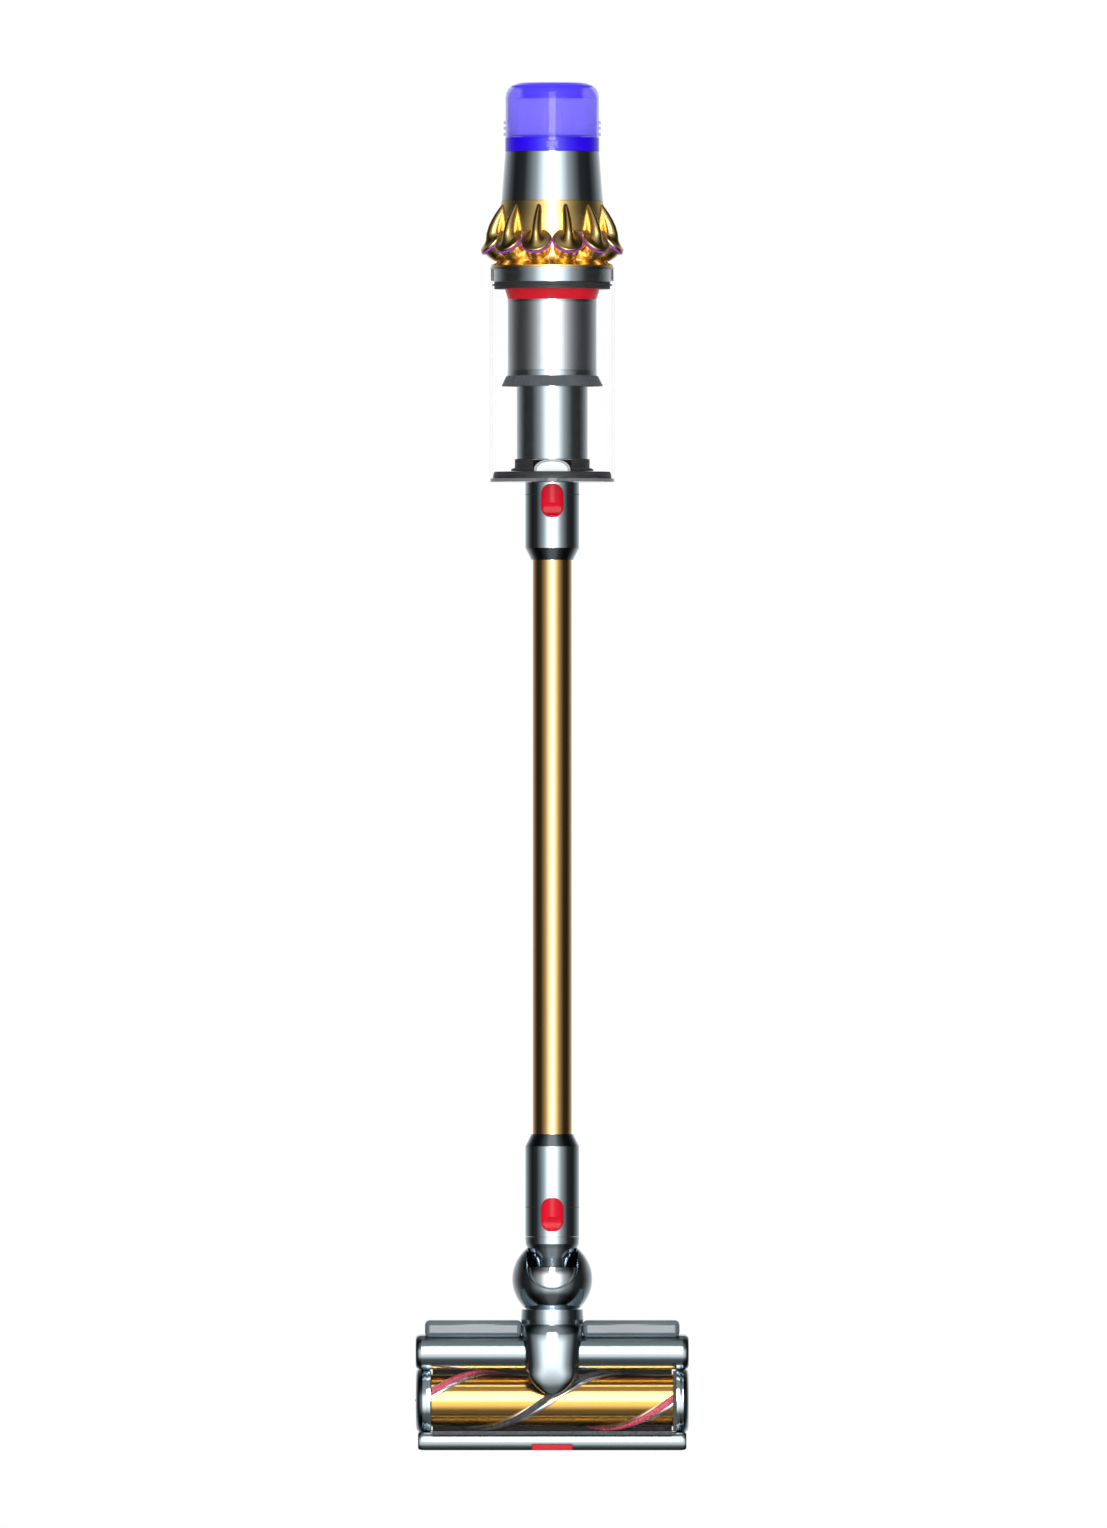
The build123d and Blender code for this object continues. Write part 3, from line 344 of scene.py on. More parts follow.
def dress(thing, slot):
    """Gives an object the material of a record slot."""
    thing.data.materials.clear()
    thing.data.materials.append(MATERIALS[slot])


for entry in frame["record"]["subparts"]:
    dress(frame["nodes"][entry["node"]], entry["material_slot"])
# the roller core gets the darker copy of the gold: painted shade
frame["nodes"]["roller_core"].data.materials[0] = roller_gold_painted_shade


# ------------------------------------------------------------------ cyclones
CYCLONES = 12
DISC_DEPTH, DISC_HEIGHT, DISC_TILT = 56.6, 1129.0, 45.0
RING_STEPS = 40
# above the gasket: distance along the cup's axis, half width, half depth
DISC_RINGS = ((1.1, 14.3, 14.3), (2.3, 14.3, 14.3), (2.8, 13.9, 13.9), (3.0, 13.0, 13.0), (3.3, 9.6, 11.2),
              (4.0, 7.4, 9.8))
# each finger: depth, height, outward lean, half width, half depth
FINGER_RINGS = ((56.6, 1134.8, 30, 6.1, 8.7), (56.0, 1138.2, 12, 5.3, 7.8), (54.6, 1142.8, -8, 4.8, 7.0),
                (52.7, 1147.8, -16, 4.3, 6.3), (50.4, 1152.8, -22, 3.8, 5.6), (47.9, 1157.6, -28, 3.2, 4.8),
                (45.7, 1161.8, -32, 2.5, 3.8), (44.6, 1164.0, -34, 1.4, 2.2))
# cups and gaskets: distance along the cup's axis, and radius
CUP_RINGS = ((-1.1, 14.1), (-2.1, 14.1), (-2.6, 13.6), (-3.2, 13.2), (-7.5, 12.8), (-11.0, 12.2),
             (-13.6, 11.2), (-15.4, 9.6), (-16.6, 7.2), (-17.2, 4.0), (-17.4, 1.0))
GASKET_RINGS = ((-1.1, 14.4), (-0.9, 14.8), (0.0, 15.0), (0.9, 14.8), (1.1, 14.4))


def cyclone_ring(angle, depth, height, lean, half_width, half_depth):
    """An ellipse round one cyclone, whose plane leans outwards."""
    turned, tilt = math.radians(angle), math.radians(lean)
    out = Vector((math.sin(turned), -math.cos(turned), 0))
    across = Vector((math.cos(turned), math.sin(turned), 0))
    slope = out * math.cos(tilt) - Vector((0, 0, math.sin(tilt)))
    centre = around(angle, depth, height)
    ring = []
    for step in range(RING_STEPS):
        swing = math.tau * step / RING_STEPS
        offset = across * half_width * math.cos(swing) + slope * half_depth * math.sin(swing)
        ring.append(centre + offset * MM)
    return ring


def on_disc(angle, lift, half_width, half_depth):
    """A ring parallel to the cyclone's disc, lifted along the cup's axis."""
    tilt = math.radians(DISC_TILT)
    depth, height = DISC_DEPTH + lift * math.sin(tilt), DISC_HEIGHT + lift * math.cos(tilt)
    return cyclone_ring(angle, depth, height, DISC_TILT, half_width, half_depth)


fingers, cups, gaskets = Shape(), Shape(), Shape()
for index in range(CYCLONES):
    bearing = (index + 0.5) * 360 / CYCLONES
    rings = [on_disc(bearing, *values) for values in DISC_RINGS]
    rings += [cyclone_ring(bearing, *values) for values in FINGER_RINGS]
    fingers.skin(rings, start=True, end=True)
    for shape, profile in ((cups, CUP_RINGS), (gaskets, GASKET_RINGS)):
        shape.skin([on_disc(bearing, lift, radius, radius) for lift, radius in profile], start=True, end=True)
fingers.lathe(((46, 1139.5), (50.2, 1139.5), (50.1, 1146), (49.2, 1156), (48.2, 1162), (47.6, 1167.5),
               (46, 1167.5)))
cups.lathe(((46, 1105.5), (57.2, 1105.5), (57.3, 1107.4), (56, 1108.6), (52.5, 1109.8), (50.6, 1113),
            (49.8, 1120), (49.6, 1128), (50.0, 1139.2), (46, 1139.2)))
finish_piece(fingers, "cyclone_fingers", "hand_unit", "gold", ("cyclone_upper",), material=cyclone_gold,
             sharp=50)
finish_piece(cups, "cyclone_cups", "hand_unit", "gold", ("cyclone_lower",), material=cyclone_gold, sharp=50)
finish_piece(gaskets, "cyclone_wavy_gasket", "hand_unit", "purple_rubber", ("cyclone_gasket",))

# ------------------------------------------------------------------ roller strips
ROLLER_LOW, ROLLER_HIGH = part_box("roller_core")
ROLLER_X = ((ROLLER_LOW.x - AXIS_X) / MM + 0.6, (ROLLER_HIGH.x - AXIS_X) / MM - 0.6)
ROLLER_DEPTH = ((ROLLER_LOW.y + ROLLER_HIGH.y) / 2 - AXIS_Y) / MM
ROLLER_HEIGHT = ((ROLLER_LOW.z + ROLLER_HIGH.z) / 2 - HEAD_Z) / MM
CORE_R = (ROLLER_HIGH.z - ROLLER_LOW.z) / 2 / MM
HELIX_PITCH, STRIP_START = 236.0, 161.0


def on_roller(x, angle, radius):
    """A point on the roller; angle 0 is the side away from the room, 90 degrees is the top."""
    swing = math.radians(angle)
    return at(x, ROLLER_DEPTH + radius * math.cos(swing), ROLLER_HEIGHT + radius * math.sin(swing))


def strip_angle(x, offset):
    return STRIP_START + offset - (x - ROLLER_X[0]) / HELIX_PITCH * 360


def wound_strip(shape, offset, section):
    """Winds a small closed section of (degrees, radius) along the roller."""
    steps = 110
    rings = []
    for step in range(steps + 1):
        x = ROLLER_X[0] + (ROLLER_X[1] - ROLLER_X[0]) * step / steps
        rings.append([on_roller(x, strip_angle(x, offset) + degrees, radius) for degrees, radius in section])
    shape.skin(rings, start=True, end=True)


def tufted_strip(shape, offset, half_width, reach, step_length, seed):
    """Rows of tufts along the roller, a little uneven in height and lean."""
    chance = random.Random(seed)
    count = int((ROLLER_X[1] - ROLLER_X[0]) / step_length)
    for row in range(3):
        for index in range(count):
            x = ROLLER_X[0] + (index + 0.25 + 0.5 * chance.random()) * step_length
            angle = strip_angle(x, offset) + (row - 1) * half_width * 0.62 + chance.uniform(-0.5, 0.5)
            tall = reach - chance.random() * 0.5
            lean = chance.uniform(-0.35, 0.35)
            foot, tip = [], []
            for side, along in ((-1, -1), (1, -1), (1, 1), (-1, 1)):
                foot_x, foot_angle = x + along * step_length * 0.42, angle + side * half_width * 0.30
                tip_x, tip_angle = x + lean + along * step_length * 0.30, angle + side * half_width * 0.24
                foot.append(on_roller(foot_x, foot_angle, CORE_R - 0.2))
                tip.append(on_roller(tip_x, tip_angle, tall))
            shape.skin([foot, tip], start=True, end=True)


# sections of the wound parts: degrees from the strip's middle, and radius
TUFT_FOOT = ((-5.2, CORE_R - 0.3), (5.2, CORE_R - 0.3), (5.2, CORE_R + 0.9), (-5.2, CORE_R + 0.9))
WIDE_BAND = ((-5.8, CORE_R - 0.2), (5.8, CORE_R - 0.2), (5.8, CORE_R + 0.7), (3.9, CORE_R + 1.5),
             (0, CORE_R + 1.8), (-3.9, CORE_R + 1.5), (-5.8, CORE_R + 0.7))
THIN_BAND = ((-2.4, CORE_R - 0.2), (2.4, CORE_R - 0.2), (2.4, CORE_R + 1.2), (0, CORE_R + 1.6),
             (-2.4, CORE_R + 1.2))
TUFT_HALF, TUFT_REACH, TUFT_SEED = 5.0, 28.5, 7
for name, slot, offset, old, step_length in (
    ("nylon_tufts", "nylon", 0, "nylon_bristles", 1.5),
    ("carbon_tufts", "carbon_fibre", 180, "carbon_bristles", 1.1),
):
    tufts = Shape()
    tufted_strip(tufts, offset, TUFT_HALF, TUFT_REACH, step_length, TUFT_SEED)
    wound_strip(tufts, offset, TUFT_FOOT)
    finish_piece(tufts, name, "roller", slot, (old,))

channels = Shape()
for start in (0, 180):
    wound_strip(channels, start + 11.5, WIDE_BAND)
    wound_strip(channels, start - 7.8, THIN_BAND)
finish_piece(channels, "strip_channels", "roller", "aluminium", ("bristle_channels",))

# ------------------------------------------------------------------ head housing and bumper
HEAD_HALF = 127.6
BAR_MIDDLE, BAR_HALF, BAR_BACK, BAR_NOSE, BAR_INNER, WALL = 91.4, 16.0, 34.6, 17.8, -12.0, 3.0
# at the ends of bar and bumper: distance in from the end, and scale of the section
END_ROUNDING = ((0.0, 0.80), (0.5, 0.88), (1.6, 0.945), (3.2, 0.98), (5.5, 1.0))


def bar_ring(x, scale, hollow=False):
    """The bar's section: a full round nose and a flat back, open towards the sole where hollow."""
    low, high = BAR_MIDDLE - BAR_HALF, BAR_MIDDLE + BAR_HALF
    back = BAR_BACK - 3 * (1 - scale)
    ring = []
    for step in range(25):
        swing = math.radians(90 - step * 7.5)
        depth = -5 - BAR_NOSE * math.cos(swing) ** 0.85 * scale
        ring.append(at(x, depth, BAR_MIDDLE + BAR_HALF * math.sin(swing) * scale))
    ring.append(at(x, back, BAR_MIDDLE - BAR_HALF * scale))
    if hollow:
        ring += [at(x, BAR_BACK, low + WALL), at(x, BAR_INNER, low + WALL),
                 at(x, BAR_INNER, high - WALL), at(x, BAR_BACK, high - WALL)]
    ring.append(at(x, back, BAR_MIDDLE + BAR_HALF * scale))
    return ring


bar_shell = Shape()
for side in (-1, 1):
    rounded_end = [bar_ring(side * (HEAD_HALF - inset), scale) for inset, scale in END_ROUNDING]
    bar_shell.skin(rounded_end, start=True, end=True)
span = HEAD_HALF - END_ROUNDING[-1][0]
bar_shell.skin([bar_ring(side * span, 1.0, hollow=True) for side in (-1, 1)], start=True, end=True)
# the bar wears the darker copy of the nickel lacquer: painted shade
finish_piece(bar_shell, "head_bar", "head", "nickel", ("head_housing",), material=bar_nickel_painted_shade, sharp=50)

bumper_low, bumper_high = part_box("front_bumper")
bumper_middle = (bumper_low.z + bumper_high.z) / 2
bumper_half = (bumper_high.z - bumper_low.z) / 2
BUMPER_NOSE = 5 * MM


def bumper_ring(x, scale):
    """The bumper's section: a shallow curved face and a flat back."""
    ring = []
    for step in range(17):
        swing = math.radians(90 - step * 11.25)
        depth = bumper_low.y + BUMPER_NOSE * (1 - math.cos(swing) * scale)
        ring.append(Vector((x, depth, bumper_middle + bumper_half * math.sin(swing) * scale)))
    ring.append(Vector((x, bumper_high.y, bumper_middle - bumper_half * scale)))
    ring.append(Vector((x, bumper_high.y, bumper_middle + bumper_half * scale)))
    return ring


bumper_rings = [bumper_ring(bumper_low.x + inset * MM, scale) for inset, scale in END_ROUNDING]
bumper_rings += [bumper_ring(bumper_high.x - inset * MM, scale) for inset, scale in reversed(END_ROUNDING)]
bumper_shell = Shape().skin(bumper_rings, start=True, end=True)
# the bumper wears the darkest copy of the nickel lacquer: painted shade
finish_piece(bumper_shell, "bumper_shell", "head", "nickel", ("front_bumper",), material=bumper_nickel_painted_shade,
             sharp=50)

strip_low, strip_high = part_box("rear_strip")
STRIP_GAP, STRIP_SINK = 28.3 * MM, 2 * MM
strip_width = (AXIS_X - STRIP_GAP - strip_low.x) / MM
strip_depth, strip_height = ((strip_high - strip_low).y / MM, (strip_high.z - strip_low.z + STRIP_SINK) / MM)
strip_cover = Shape()
for start_x in (strip_low.x, AXIS_X + STRIP_GAP):
    strip_corner = Vector((start_x, strip_low.y, strip_low.z - STRIP_SINK))
    strip_cover.block(strip_corner, strip_width, strip_depth, strip_height)
finish_piece(strip_cover, "rear_strip_cover", "head", "dark_plastic", ("rear_strip",), round_edge=4.5,
             material=glossy_dark)

# a soft lip under the window that keeps hair and fluff from being pushed along
LIP_HALF = 112
felt = Shape().block(at(-LIP_HALF, -19.5, 15.4), 2 * LIP_HALF, 3.4, 2.6)
finish_piece(felt, "felt_lip", "head", "carbon_fibre", round_edge=0.6)

# lips behind the roller that close the gap to the sole, and dark seals at the window's ends
lips = Shape()
for low, high in ((17.0, 24.0), (68.6, 75.6)):
    lips.block(at(-LIP_HALF, 30.4, low), 2 * LIP_HALF, 2.6, high - low)
for low, high in ((-113.8, -112.9), (112.9, 116.2)):
    lips.block(at(low, -20.4, 18.2), high - low, 1.6, 56.2)
finish_piece(lips, "roller_seals", "head", "black_rubber", round_edge=0.4)

# the neck fairing: height, half width, depth of its sides, reach to the front, depth of its back
FAIRING = ((117.7, 27.6, 0, 29.4, 28), (117.2, 28.5, 0, 30.4, 29), (108, 28.3, 0, 33.2, 30),
           (98, 27.6, 0, 34.6, 30), (88, 26.8, 0, 34.8, 29), (80, 26.0, 0, 34.3, 20),
           (76, 25.4, -5, 33.6, -4), (72, 24.2, -11, 32.8, -11), (68, 22.2, -15.6, 31.8, -15.6),
           (64, 19.4, -18.2, 30.7, -18.2), (60, 15.8, -19.8, 29.4, -19.8), (56.5, 11.7, -21, 28.0, -21),
           (53.8, 7.5, -22, 26.8, -22), (52.2, 3.6, -22.4, 25.9, -22.4), (51.6, 0.8, -22.6, 24.8, -22.6))


def fairing_ring(height, half_width, side, reach, back):
    """A level section of the neck: full in front, rounded behind."""
    ring = []
    for step in range(96):
        swing = math.tau * step / 96
        forward = math.cos(swing)
        if forward > 0:
            depth = side - (reach + side) * forward ** 0.42
        else:
            depth = side - (back - side) * forward
        ring.append(at(half_width * math.sin(swing), depth, height))
    return ring


fairing = Shape().skin([fairing_ring(*values) for values in FAIRING], start=True, end=True)
finish_piece(fairing, "neck_fairing", "head", "nickel", ("neck_body",), sharp=60)

# ------------------------------------------------------------------ roller ends
WINDOW_LOW, WINDOW_HIGH = 17.3, 75.1


def end_ring(x, radius):
    """A ring about the roller's axis, flattened where the bar, the bumper and the sole hold it."""
    ring = []
    for step in range(120):
        swing = math.tau * step / 120
        depth = min(ROLLER_DEPTH + radius * math.cos(swing), BAR_BACK - 0.2)
        height = ROLLER_HEIGHT + radius * math.sin(swing)
        ring.append(at(x, depth, min(max(height, WINDOW_LOW), WINDOW_HIGH)))
    return ring


# distance in from the end of the head, and radius
LEFT_RINGS = ((27.6, 3.9), (13.7, 3.9), (13.6, 33.2), (11.4, 33.2), (11.2, 32.0), (10.2, 32.0), (10.0, 33.1),
              (7.8, 32.9), (7.6, 31.8), (6.6, 31.7), (6.4, 32.6), (3.8, 31.6), (1.8, 29.9), (0.6, 27.4),
              (0.0, 24.0), (0.0, 20.4), (1.0, 19.8), (1.0, 8.6), (0.2, 8.0), (0.2, 0.6))
RIGHT_RINGS = ((117.6, 3.2), (117.6, 16.2), (116.8, 17.0), (19.6, 17.0), (19.4, 10.0), (11.4, 10.0),
               (11.2, 33.2), (9.4, 33.2), (9.2, 32.0), (8.4, 32.0), (8.2, 33.0), (6.0, 32.6), (5.8, 31.6),
               (5.0, 31.6), (4.8, 32.2), (2.4, 30.8), (0.8, 28.4), (0.0, 25.0), (0.0, 0.6))
left_rings = [end_ring(-HEAD_HALF + inset, radius) for inset, radius in LEFT_RINGS]
left_cap = Shape().skin(left_rings, start=True, end=True)
finish_piece(left_cap, "end_cap_ringed", "roller_end_cap", "nickel", ("roller_end_cap",))
COIN_BAR = 14
coin_corner = at(-HEAD_HALF - 0.5, ROLLER_DEPTH - COIN_BAR / 2, ROLLER_HEIGHT - 1)
finish_piece(Shape().block(coin_corner, 1.2, COIN_BAR, 2), "end_cap_coin_bar", "roller_end_cap", "dark_plastic",
             round_edge=0.3)
right_rings = [end_ring(HEAD_HALF - inset, radius) for inset, radius in RIGHT_RINGS]
right_cap = Shape().skin(right_rings, start=True, end=True)
finish_piece(right_cap, "motor_end_ringed", "head", "nickel", ("brush_motor",))

# ------------------------------------------------------------------ filter, collar and skirt trim
band = Shape().lathe(((43.0, 1214.0), (43.95, 1214.0), (44.05, 1215), (44.05, 1226), (43.9, 1226.8),
                      (43.0, 1226.8)))
finish_piece(band, "filter_base_band", "filter", "purple_clear", material=deep_violet)
lock = Shape()
for face_depth in (-44.5, 43.4):
    lock.block(at(-6, face_depth, 1216.5), 12, 1.1, 7)
finish_piece(lock, "filter_lock_windows", "filter", "purple_clear", round_edge=0.4)
cap_band = Shape().lathe(((36.8, 1273.6), (38.4, 1275.2), (31.8, 1277.6), (28.4, 1277.7), (28.4, 1276.0),
                          (31.6, 1275.9)))
finish_piece(cap_band, "filter_top_band", "filter", "purple_clear", material=deep_violet)

CLIP_INNER, CLIP_OUTER, CLIP_BASE = 55.6, 57.2, 1093.2
clips = Shape()
for angle in (90, 270):
    for spread_angle in (-1.6, 1.6):
        foot = around(angle + spread_angle, CLIP_INNER, CLIP_BASE)
        out = around(angle, CLIP_OUTER, 0) - around(angle, CLIP_INNER, 0)
        across = around(angle + spread_angle + 1.2, CLIP_INNER, CLIP_BASE) - foot
        clips.brick(foot, out, across, Vector((0, 0, 10.4 * MM)))
finish_piece(clips, "collar_clips", "hand_unit", "black_rubber")

LOUVRES, LOUVRE_WIDTH = 60, 1.6
SKIRT_LOW, SKIRT_HIGH = 995.0, 1003.9
louvres = Shape()
for index in range(LOUVRES):
    angle = index * 360 / LOUVRES
    low_out, low_in = around(angle, 47.3, SKIRT_LOW), around(angle, 44.9, SKIRT_LOW)
    high_out, high_in = around(angle, 43.0, SKIRT_HIGH), around(angle, 41.0, SKIRT_HIGH)
    across = around(angle + LOUVRE_WIDTH, 47.3, SKIRT_LOW) - low_out
    louvres.skin([[low_in, low_out, low_out + across, low_in + across],
                  [high_in, high_out, high_out + across, high_in + across]], start=True, end=True)
finish_piece(louvres, "skirt_louvres", "hand_unit", "dark_plastic")

shroud_bands = Shape()
for low, high in ((1004.3, 1009.6), (1073.4, 1075.7)):
    shroud_bands.lathe(((41.2, low), (41.75, low), (41.85, low + 0.4), (41.85, high - 0.4), (41.75, high),
                        (41.2, high)))
finish_piece(shroud_bands, "shroud_bands", "hand_unit", "nickel")

# ------------------------------------------------------------------ inlet block of the bin door
DUCT_LOW, DUCT_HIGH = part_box("inlet_duct")
duct_base, duct_top = (DUCT_LOW.z - HEAD_Z) / MM, (DUCT_HIGH.z - HEAD_Z) / MM
duct_front, duct_back = (DUCT_LOW.y - AXIS_Y) / MM, (DUCT_HIGH.y - AXIS_Y) / MM


def arch(half_width, depth, base, top):
    """A closed arch: straight sides and an elliptic crown."""
    spring = base + (top - base) * 0.45
    ring = [at(-half_width, depth, base)]
    for step in range(25):
        swing = math.pi - math.pi * step / 24
        ring.append(at(half_width * math.cos(swing), depth, spring + (top - spring) * math.sin(swing)))
    ring.append(at(half_width, depth, base))
    return ring


duct_rings = [
    arch(16.4, duct_front, duct_base, duct_top - 0.4),
    arch(17.0, duct_front + 0.8, duct_base, duct_top),
    arch(17.0, duct_back - 6, duct_base, duct_top),
    arch(14.6, duct_back - 6, duct_base + 1.6, duct_top - 2.2),
    arch(14.6, duct_front + 0.8, duct_base + 1.6, duct_top - 2.2),
    arch(15.2, duct_front, duct_base + 1.2, duct_top - 1.6),
]
finish_piece(Shape().skin(duct_rings, loop=True), "inlet_arch", "bin_door", "clear", ("inlet_duct",),
             material=frosted)
pane_rings = [arch(14.5, duct_front + step, duct_base + 1.7, duct_top - 2.3) for step in (0.5, 1.7)]
finish_piece(Shape().skin(pane_rings, start=True, end=True), "inlet_pane", "bin_door", "clear", material=milky)
throat_profile = ((14.6, duct_base), (16.6, duct_base), (16.6, duct_base + 6), (15.8, duct_base + 6.6),
                  (14.6, duct_base + 6.6))
finish_piece(Shape().lathe(throat_profile, steps=72), "inlet_throat", "bin_door", "clear", material=frosted)

# ------------------------------------------------------------------ cuff seams, open where the buttons sit
SEAM_INNER, SEAM_OUTER, SEAM_HALF = 25.0, 25.28, 0.25
seams = Shape()
for height in (893.4, 227.2):
    corners = ((SEAM_INNER, height - SEAM_HALF), (SEAM_OUTER, height - SEAM_HALF),
               (SEAM_OUTER, height + SEAM_HALF), (SEAM_INNER, height + SEAM_HALF))
    seam_rings = [[around(angle, radius, level) for radius, level in corners] for angle in range(32, 329, 4)]
    seams.skin(seam_rings, start=True, end=True)
finish_piece(seams, "cuff_seams", "wand", "black_rubber")

# ------------------------------------------------------------------ hand unit trim
SEGMENTS, SEGMENT_INNER, SEGMENT_OUTER, SEGMENT_SPAN = 24, 17.4, 19.4, 7
segments = Shape()
screen_top = (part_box("display_window")[1].z - HEAD_Z) / MM - 0.05
button_low, button_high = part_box("mode_button")
button_middle = (button_low + button_high) / 2
for index in range(SEGMENTS):
    angle = index * 360 / SEGMENTS
    corner = around(angle, SEGMENT_INNER, screen_top)
    if (button_middle - corner).to_2d().length < 9 * MM:
        continue
    segments.brick(corner, around(angle + SEGMENT_SPAN, SEGMENT_INNER, screen_top) - corner,
                   around(angle, SEGMENT_OUTER, screen_top) - corner, Vector((0, 0, 0.12 * MM)))
finish_piece(segments, "display_segments", "hand_unit", "bright_nickel")

battery_low, battery_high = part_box("battery_case")
battery_width, battery_depth, battery_height = (battery_high - battery_low) / MM


def on_battery(x, depth, height):
    """A point from the battery's left side, front face and base, in mm."""
    return battery_low + Vector((x, depth, height)) * MM


battery_centre = -battery_low.x / MM
battery_trim = Shape()
for row in range(7):
    for face in (-0.25, battery_width - 0.35):
        battery_trim.block(on_battery(face, 14, 92 + row * 4), 0.6, 26, 1.6)
finish_piece(battery_trim, "battery_grip_ribs", "hand_unit", "dark_plastic", round_edge=0.2)

battery_latch = Shape().block(on_battery(battery_centre - 11, -1.2, battery_height - 26), 22, 3, 13)
finish_piece(battery_latch, "battery_latch", "hand_unit", "red", round_edge=1.4)

SEAM_MARGIN, SEAM_THICKNESS = 7, 0.55
seam_height = battery_height - 34
battery_seam = Shape().block(on_battery(SEAM_MARGIN, battery_depth - 0.3, seam_height),
                             battery_width - 2 * SEAM_MARGIN, SEAM_THICKNESS, 0.7)
for face in (-0.25, battery_width - 0.3):
    battery_seam.block(on_battery(face, SEAM_MARGIN, seam_height), SEAM_THICKNESS,
                       battery_depth - 2 * SEAM_MARGIN, 0.7)
for row in range(5):
    battery_seam.block(on_battery(battery_centre - 16, battery_depth - 0.3, 12 + row * 4), 32, 0.9, 1.6)
finish_piece(battery_seam, "battery_seams", "hand_unit", "black_rubber", round_edge=0.15)
lamps = Shape()
for index in range(3):
    lamps.block(on_battery(battery_centre - 9 + index * 7, -0.3, 22), 4, 1.2, 1.6)
finish_piece(lamps, "battery_lamps", "hand_unit", "bright_nickel", round_edge=0.3)


def screw_head(shape, centre, outward, radius, slots=6):
    """A domed screw head with a star recess, facing along outward."""
    side = outward.orthogonal().normalized()
    other = outward.cross(side).normalized()
    rings = []
    for reach, lift in ((1.0, -0.6), (1.0, 0.25), (0.88, 0.45), (0.52, 0.5), (0.45, -0.2), (0.02, -0.2)):
        ring = []
        for step in range(48):
            swing = math.tau * step / 48
            wave = 1 + 0.16 * math.cos(slots * swing) if reach in (0.52, 0.45) else 1
            offset = (side * math.cos(swing) + other * math.sin(swing)) * radius * reach * wave
            ring.append(centre + (offset + outward * lift) * MM)
        rings.append(ring)
    shape.skin(rings, start=True, end=True)


screws = Shape()
for x_face, side in ((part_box("grip_right")[1].x, 1), (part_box("grip_left")[0].x, -1)):
    for depth, height in ((62, 1194), (104, 1186), (150, 1176), (178, 1160)):
        point = at(0, depth, height)
        screw_head(screws, Vector((x_face, point.y, point.z)), Vector((side, 0, 0)), 2.6)
finish_piece(screws, "grip_screws", "hand_unit", "steel")

BACKWARD = Vector((0, 1, 0))
battery_screws = Shape()
for side in (-1, 1):
    for height in (20, min(150, battery_height - 12)):
        place = on_battery(battery_centre + side * 24, battery_depth, height)
        screw_head(battery_screws, place, BACKWARD, 2.4)
finish_piece(battery_screws, "battery_screws", "hand_unit", "steel")

SOLE_DEPTH = 38
sole_screws = Shape()
for x in (-100, -34, 34, 100):
    for height in (84, 9):
        screw_head(sole_screws, at(x, SOLE_DEPTH, height), BACKWARD, 2.6)
finish_piece(sole_screws, "sole_screws", "head", "steel")

# the trigger's coil spring, wound from its base to its top
spring_low, spring_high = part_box("trigger_spring")
spring_axis = (spring_low + spring_high) / 2
WIRE, SPRING_TURNS, TRIGGER_TRAVEL = 0.45 * MM, 7, 5 * MM
TURN_STEPS, WIRE_SIDES = 24, 8
coil_radius = (spring_high.x - spring_low.x) / 2 - WIRE
spring_height = spring_high.z - spring_low.z
UPWARDS = Vector((0, 0, 1))
coil_rings = []
for step in range(SPRING_TURNS * TURN_STEPS + 1):
    swing = math.tau * step / TURN_STEPS
    outward = Vector((math.cos(swing), math.sin(swing), 0))
    rise = spring_low.z + WIRE + (spring_height - 2 * WIRE) * step / (SPRING_TURNS * TURN_STEPS)
    hub = Vector((spring_axis.x, spring_axis.y, rise)) + outward * coil_radius
    turns = [math.tau * side / WIRE_SIDES for side in range(WIRE_SIDES)]
    coil_rings.append([hub + (outward * math.cos(turn) + UPWARDS * math.sin(turn)) * WIRE for turn in turns])
coil = finish_piece(Shape().skin(coil_rings, start=True, end=True), "trigger_coil", "hand_unit", "steel",
                    ("trigger_spring",))
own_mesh(coil)

VENT_SPACING, VENT_INNER, VENT_OUTER, VENT_BASE = 7.5, 46.0, 46.5, 1186
vents = Shape()
for place in (-5, -4, -3, 3, 4, 5):
    angle = 180 + place * VENT_SPACING
    foot = around(angle, VENT_INNER, VENT_BASE)
    across = around(angle + 2.4, VENT_INNER, VENT_BASE) - foot
    vents.brick(foot, across, around(angle, VENT_OUTER, VENT_BASE) - foot, Vector((0, 0, 18 * MM)))
finish_piece(vents, "motor_vents", "hand_unit", "dark_plastic")

